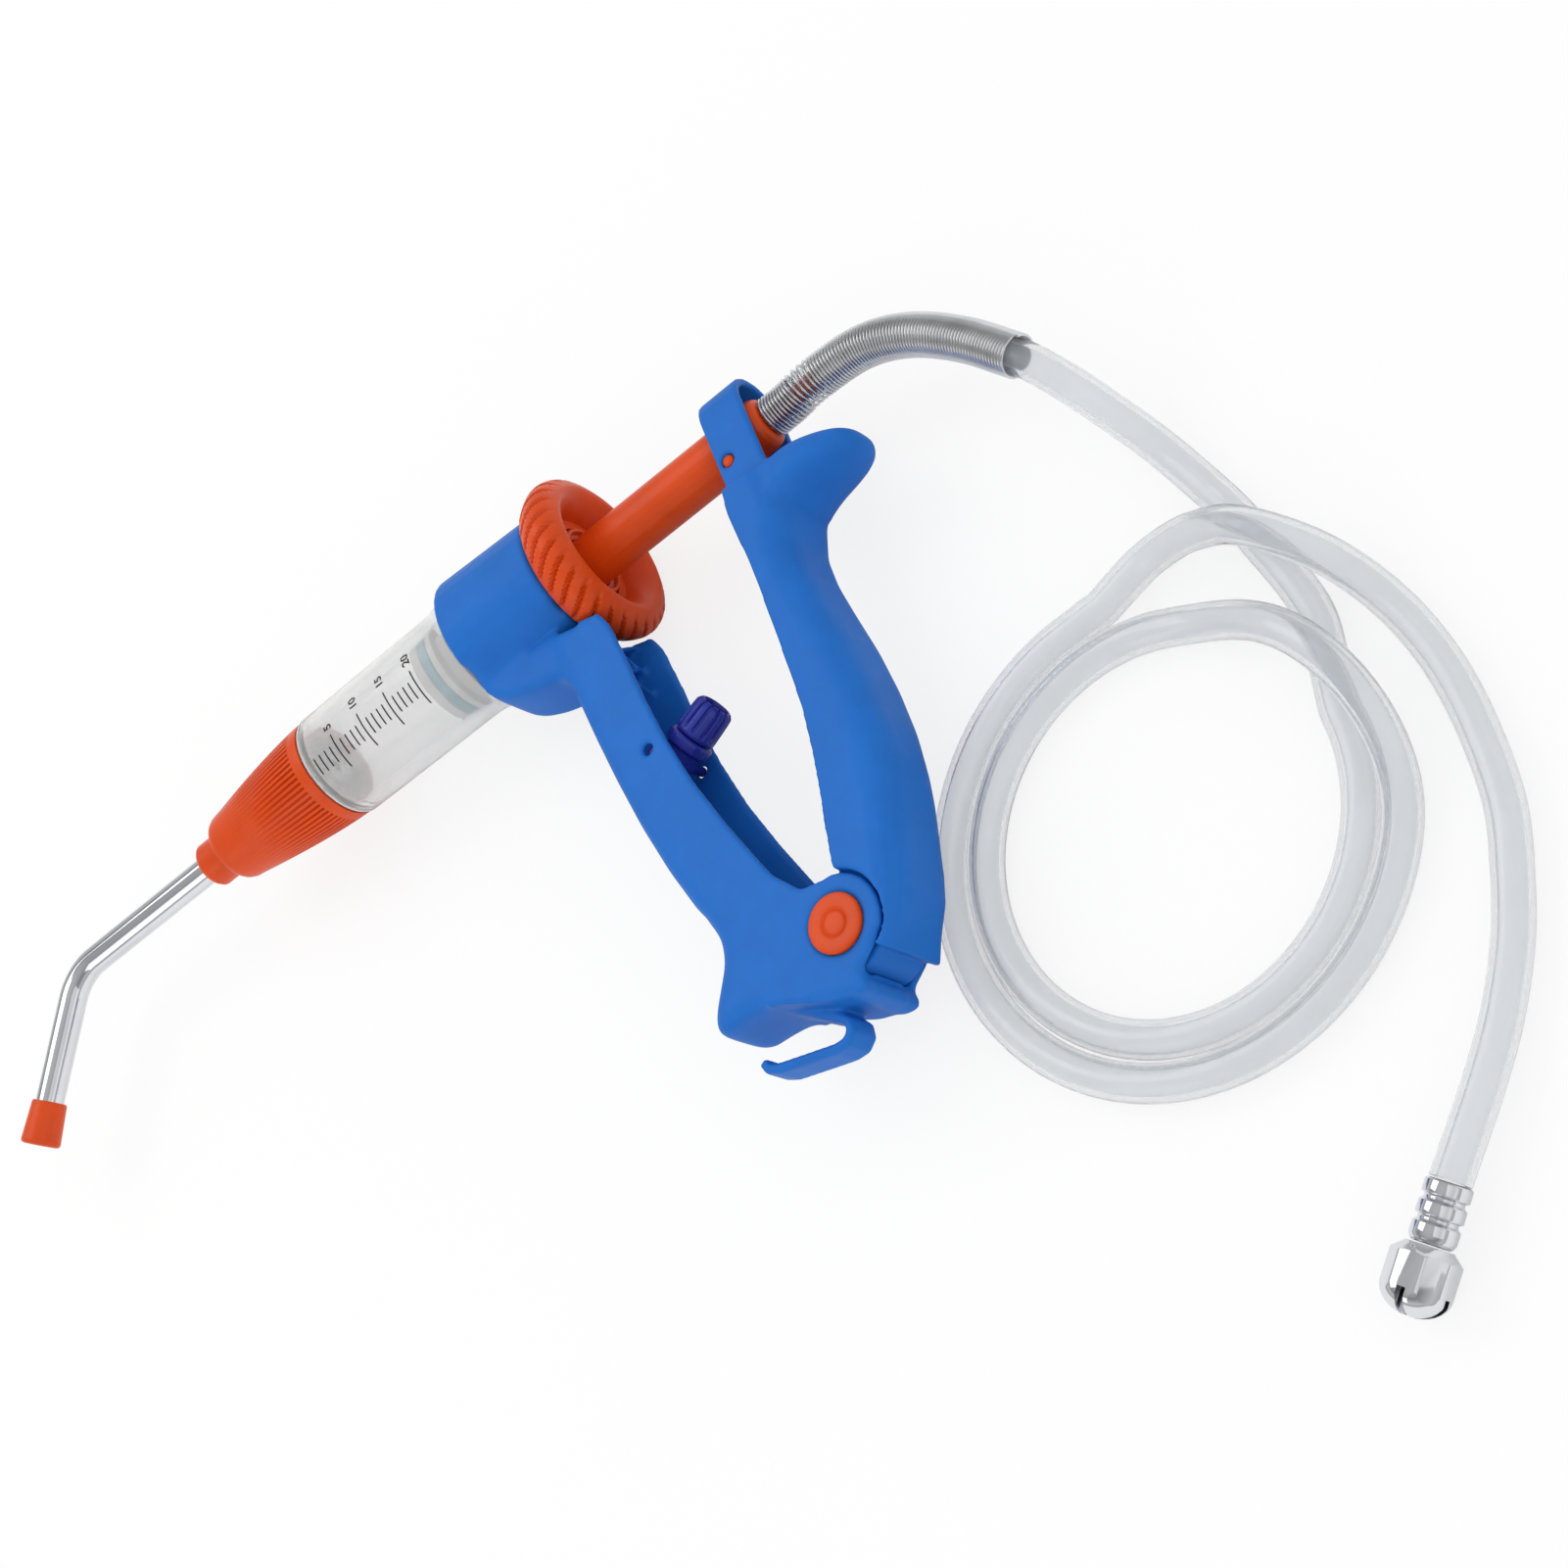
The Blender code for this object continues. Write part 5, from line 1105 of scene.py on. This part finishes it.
@dataclass
class DoseWheel:
    """The dished wheel with its slanted grooves, and the threaded sleeve inside it."""

    front: float = -39.2
    rear: float = -26.2
    dish_depth: float = 7.0
    grooves: Grooves = Grooves(30, 1.25, -38.9, 1.6, -27.1, 2.0, 18.6, width=0.3, crispness=3.5, slant=1.5)
    threads: int = 17
    pitch: float = 1.5

    def build(self) -> None:
        """Builds the dose wheel and its sleeve."""
        front, rear = self.front, self.rear
        floor = rear - self.dish_depth
        crown = []
        for t in (0, 0.2, 0.4, 0.6, 0.8, 1.0):
            crown.append((front + 1.8 + 5.6 * t, 21.5 + 2.25 * math.sin(t * math.pi / 2)))
        crown += [(front + 7.4 + 3.4 * t, 23.75 - 1.2 * t * t) for t in (0.25, 0.5, 0.75, 1.0)]
        profile: list[Point] = [(front - 5.0, 15.6), (front - 4.7, 15.9), (front, 15.9), (front, 19.1)]
        profile += [(front + 0.5, 20.0), (front + 1.1, 20.8), *crown]
        profile += [(rear - 1.4, 21.6), (rear - 0.7, 20.4), (rear - 0.2, 19.5), (rear, 18.8)]
        profile += [(rear - 0.3, 17.8), (rear - 1.2, 16.6), (rear - 2.6, 15.3), (rear - 4.2, 14.2)]
        profile += [(rear - 5.8, 13.4), (floor, 13.0), (floor, 10.6), (front - 5.0, 10.6)]
        bm = lathe(profile, 720, closed=True)
        self.grooves.press(bm)
        settle("dose_wheel_grooved", bm, "dose_wheel", ORANGE, BARREL_AXIS, ["dose_nut"], angle=50)
        sleeve = [(-64.0, 7.4), (-64.0, 9.8), (-63.6, 10.15)]
        for step in range(self.threads):
            low = -62.0 + self.pitch * step
            sleeve += [(low, 10.15), (low + 0.5, 9.8), (low + 0.9, 9.8), (low + 1.4, 10.15)]
        sleeve += [(-34.4, 10.0), (-32.3, 9.9), (-31.9, 9.6), (-31.9, 8.9), (-32.3, 8.6), (-33.0, 8.4)]
        bm = lathe([*sleeve, (-33.4, 7.4)], 72, True)
        settle("dose_sleeve_threaded", bm, "dose_stop", ORANGE, BARREL_AXIS, ["dose_sleeve"])


@dataclass
class Handles:
    """The two blue mouldings with their axle, its spring and the trunnion pin."""

    head_radius: float = 7.25
    head_thickness: float = 1.6
    shaft_radius: float = 3.2
    face: float = 12.3

    def build(self) -> None:
        """Builds the handles."""
        gusset = Softening(lambda x, y, z: -76 < x < -36 and 96 < y < 124 and (abs(z) > 9.5 or y < 116), 60)
        toe = Softening(lambda x, y, z: x < -24 and -11 < y < 26, 90)
        fingers = Softening(lambda x, y, z: 22 < y < 96 and x < -29.8 - (y - 26.5) * 0.153, 40)
        heel = Softening(lambda x, y, z: x > -14 and -18.6 < y < -7 and abs(z) > 5.4, 25)
        horn = Softening(lambda x, y, z: x > 29 and y > 106, 60)
        palm = Softening(lambda x, y, z: x > 20 and 0 < y <= 106, 25)
        regions = [gusset, toe, fingers, heel]
        moulded("front_handle_moulded", "front_handle", "syringe_body", BLUE, rounder=regions)
        moulded("rear_handle_moulded", "rear_handle", "squeeze_lever", BLUE, rounder=[horn, palm])
        seat, head, shaft = self.face - self.head_thickness, self.head_radius, self.shaft_radius
        rim = [(seat, 7.1), (seat + 0.2, head), (11.8, head), (12.15, 7.1), (self.face, 6.7)]
        profile = [(-10.3, 0), (-10.3, shaft), (seat, shaft), *rim, (self.face, 3.9), (12.2, 3.6)]
        profile += [(11.85, 3.3), (11.8, 3.0), (12.1, 2.75), (12.2, 2.4), (12.22, 1.0), (12.22, 0)]
        bm = lathe(profile, 64)
        settle("axle_head_orange", bm, "syringe_body", ORANGE, PIVOT_AXIS, ["pivot_axle"], angle=50)
        under = Axis(place(0, 0), Vector((0, 0, -1)))
        profile = [(seat, 0), *rim, (self.face, 3.4), (12.1, 2.9), (11.75, 2.6), (11.7, 0)]
        settle("axle_cap_orange", lathe(profile, 64), "syringe_body", ORANGE, under, ["axle_cap"], angle=50)
        pin = Axis(place(18.3, AXIS_HEIGHT - 9.9), Vector((0, 0, 1)))
        half = [(9.2, 1.6), (9.5, 1.5), (9.85, 1.0), (9.9, 0)]
        bm = lathe([*((-x, radius) for x, radius in reversed(half)), *half], 40)
        settle("trunnion_pin_orange", bm, "squeeze_lever", ORANGE, pin, ["trunnion_pin"], angle=60)
        dress(STEEL, "return_spring")


@dataclass
class StrokeStop:
    """The navy collar, screw and fluted cap that limit the stroke."""

    seat: Point = (-30.2, 70.2)
    tilt_degrees: float = 20.5
    peg_reach: float = 9.6
    cap_front: float = 7.6
    cap_length: float = 9.6
    bore_end: float = 14.7
    flutes: Grooves = Grooves(12, 0.8, 9.0, 0.6, inside=4.2, width=0.42)

    def build(self) -> None:
        """Builds the stroke stop."""
        tilt = math.radians(self.tilt_degrees)
        axis = Axis(place(*self.seat), Vector((math.cos(tilt), math.sin(tilt), 0)))
        dress(NAVY, "stop_stem")
        end = bmesh.new()
        bmesh.ops.create_cube(end, size=20 * MM)
        bmesh.ops.translate(end, vec=place(self.seat[0], self.seat[1], self.peg_reach + 10), verts=end.verts)
        moulded("stop_collar_navy", "stop_nut", "syringe_body", NAVY, 0.22, 6, cuts=[end])
        low, high = self.cap_front, self.cap_front + self.cap_length
        profile = [(self.bore_end, 0.0), (self.bore_end, 2.3), (low, 2.35), (low, 4.8), (low + 0.2, 5.1)]
        profile += [(low + 0.6, 5.3), (low + 1.4, 5.3), (low + 1.8, 5.3)]
        profile += [(low + 3.0, 5.25), (low + 5.0, 5.2), (low + 7.0, 5.12), (high - 1.2, 5.0)]
        profile += [(high - 0.7, 4.7), (high - 0.25, 4.3), (high, 3.8), (high - 0.1, 3.5), (high - 0.6, 3.35)]
        bm = lathe([*profile, (high - 1.2, 3.3), (high - 1.2, 0.0)], 240)
        self.flutes.press(bm)
        settle("stop_cap_fluted", bm, "stop_cap", NAVY, axis, ["stop_knob"], angle=50)


@dataclass
class Studio:
    """The camera, the lamps and the pale floor."""

    eye: Triple = (0.354328, -0.374975, 0.555790)
    ahead: Triple = (-0.39413, 0.50831, -0.76569)
    up: Triple = (0.54389, 0.80058, 0.25151)
    lens: float = 67.46
    floor_radius: float = 4.0
    floor_glow: float = 0.8
    surround: float = 0.86
    bands: Sequence[Point] = ((0.0, 0.45), (0.45, 0.3), (0.62, 0.62), (0.8, 0.25), (1.0, 0.55))

    def build_camera(self) -> None:
        """Sets the camera at the photograph's viewing angle."""
        data = bpy.data.cameras.new("photograph")
        data.lens = self.lens
        data.sensor_width = 36
        data.clip_start = 0.01
        data.clip_end = 20
        camera = linked("photograph", data)
        ahead, up = Vector(self.ahead).normalized(), Vector(self.up)
        up = (up - ahead * up.dot(ahead)).normalized()
        turn = Matrix((ahead.cross(up), up, -ahead)).transposed().to_4x4()
        camera.matrix_world = Matrix.Translation(Vector(self.eye)) @ turn
        bpy.context.scene.camera = camera

    def add_lamp(self, name: str, at: Triple, size: float, power: float) -> None:
        """Adds a soft lamp that shines at the syringe.

        Args:
            name: The lamp's name.
            at: Its place.
            size: Its side in metres.
            power: Its power in watts.
        """
        data = bpy.data.lights.new(name, "AREA")
        data.size = size
        data.energy = power
        lamp = linked(name, data)
        lamp.location = at
        lamp.rotation_euler = (Vector((0.05, -0.02, 0.0)) - Vector(at)).to_track_quat("-Z", "Y").to_euler()

    def build_floor(self) -> None:
        """Makes the white floor, which keeps a soft shadow."""
        bm = bmesh.new()
        bmesh.ops.create_circle(bm, cap_ends=True, segments=64, radius=self.floor_radius)
        mesh = bpy.data.meshes.new("floor")
        bm.to_mesh(mesh)
        bm.free()
        floor = linked("floor", mesh)
        material = bpy.data.materials.new("white_floor")
        material.use_nodes = True
        graph = Graph(material.node_tree)
        at = graph.node("ShaderNodeTexCoord", {}, {}, "Object")
        shade = graph.mix(graph.noise(at, 90.0), (0.9,) * 3, (0.93,) * 3)
        diffuse = graph.node("ShaderNodeBsdfDiffuse", {}, {"Color": shade})
        glow = graph.node("ShaderNodeEmission", {}, {"Color": WHITE, "Strength": 1.0})
        seen = graph.node("ShaderNodeLightPath", {}, {}, "Is Camera Ray")
        through = graph.node("ShaderNodeLightPath", {}, {}, "Is Transmission Ray")
        share = seen * self.floor_glow + through * self.floor_glow
        both = graph.node("ShaderNodeMixShader", {}, {0: share, 1: diffuse, 2: glow})
        graph.node("ShaderNodeOutputMaterial", {}, {"Surface": both})
        mesh.materials.append(material)

    def build_world(self) -> None:
        """Lights the scene evenly, with a white background and darker bands for metal to show."""
        world = bpy.data.worlds.new("studio")
        bpy.context.scene.world = world
        world.use_nodes = True
        graph = Graph(world.node_tree)
        at = graph.node("ShaderNodeTexCoord", {}, {}, "Generated")
        height = graph.node("ShaderNodeSeparateXYZ", {}, {"Vector": at}, "Z")
        stops = [(at_height, (level,) * 3) for at_height, level in self.bands]
        banded = graph.node("ShaderNodeValToRGB", {"stops": stops}, {"Fac": height.between(-1.0, 1.0)})
        glossy = graph.node("ShaderNodeLightPath", {}, {}, "Is Glossy Ray")
        around = graph.mix(glossy, (self.surround,) * 3, banded)
        seen = graph.node("ShaderNodeLightPath", {}, {}, "Is Camera Ray")
        through = graph.node("ShaderNodeLightPath", {}, {}, "Is Transmission Ray")
        colour = graph.mix(seen + through, around, WHITE)
        back = graph.node("ShaderNodeBackground", {}, {"Color": colour, "Strength": 1.0})
        graph.node("ShaderNodeOutputWorld", {}, {"Surface": back})

    def build(self) -> None:
        """Sets up the studio."""
        bpy.context.scene.view_settings.view_transform = "Standard"
        self.build_camera()
        self.build_floor()
        self.build_world()
        self.add_lamp("key", (-0.35, 0.55, 0.95), 0.7, 2.6)
        self.add_lamp("fill", (0.9, -0.7, 0.9), 1.2, 2.0)
        self.add_lamp("rim", (-0.7, -0.6, 0.5), 0.5, 0.8)


def main() -> None:
    """Builds every sub-assembly in order."""
    logging.basicConfig(level=logging.INFO, format="%(name)s %(message)s")
    Studio().build()
    hose = Hose()
    hose.build_tube(hose.build_fittings())
    hose.build_sleeve()
    Handles().build()
    Nozzle().build()
    Barrel().build()
    Plunger().build()
    DoseWheel().build()
    StrokeStop().build()


if __name__ == "__main__":
    main()
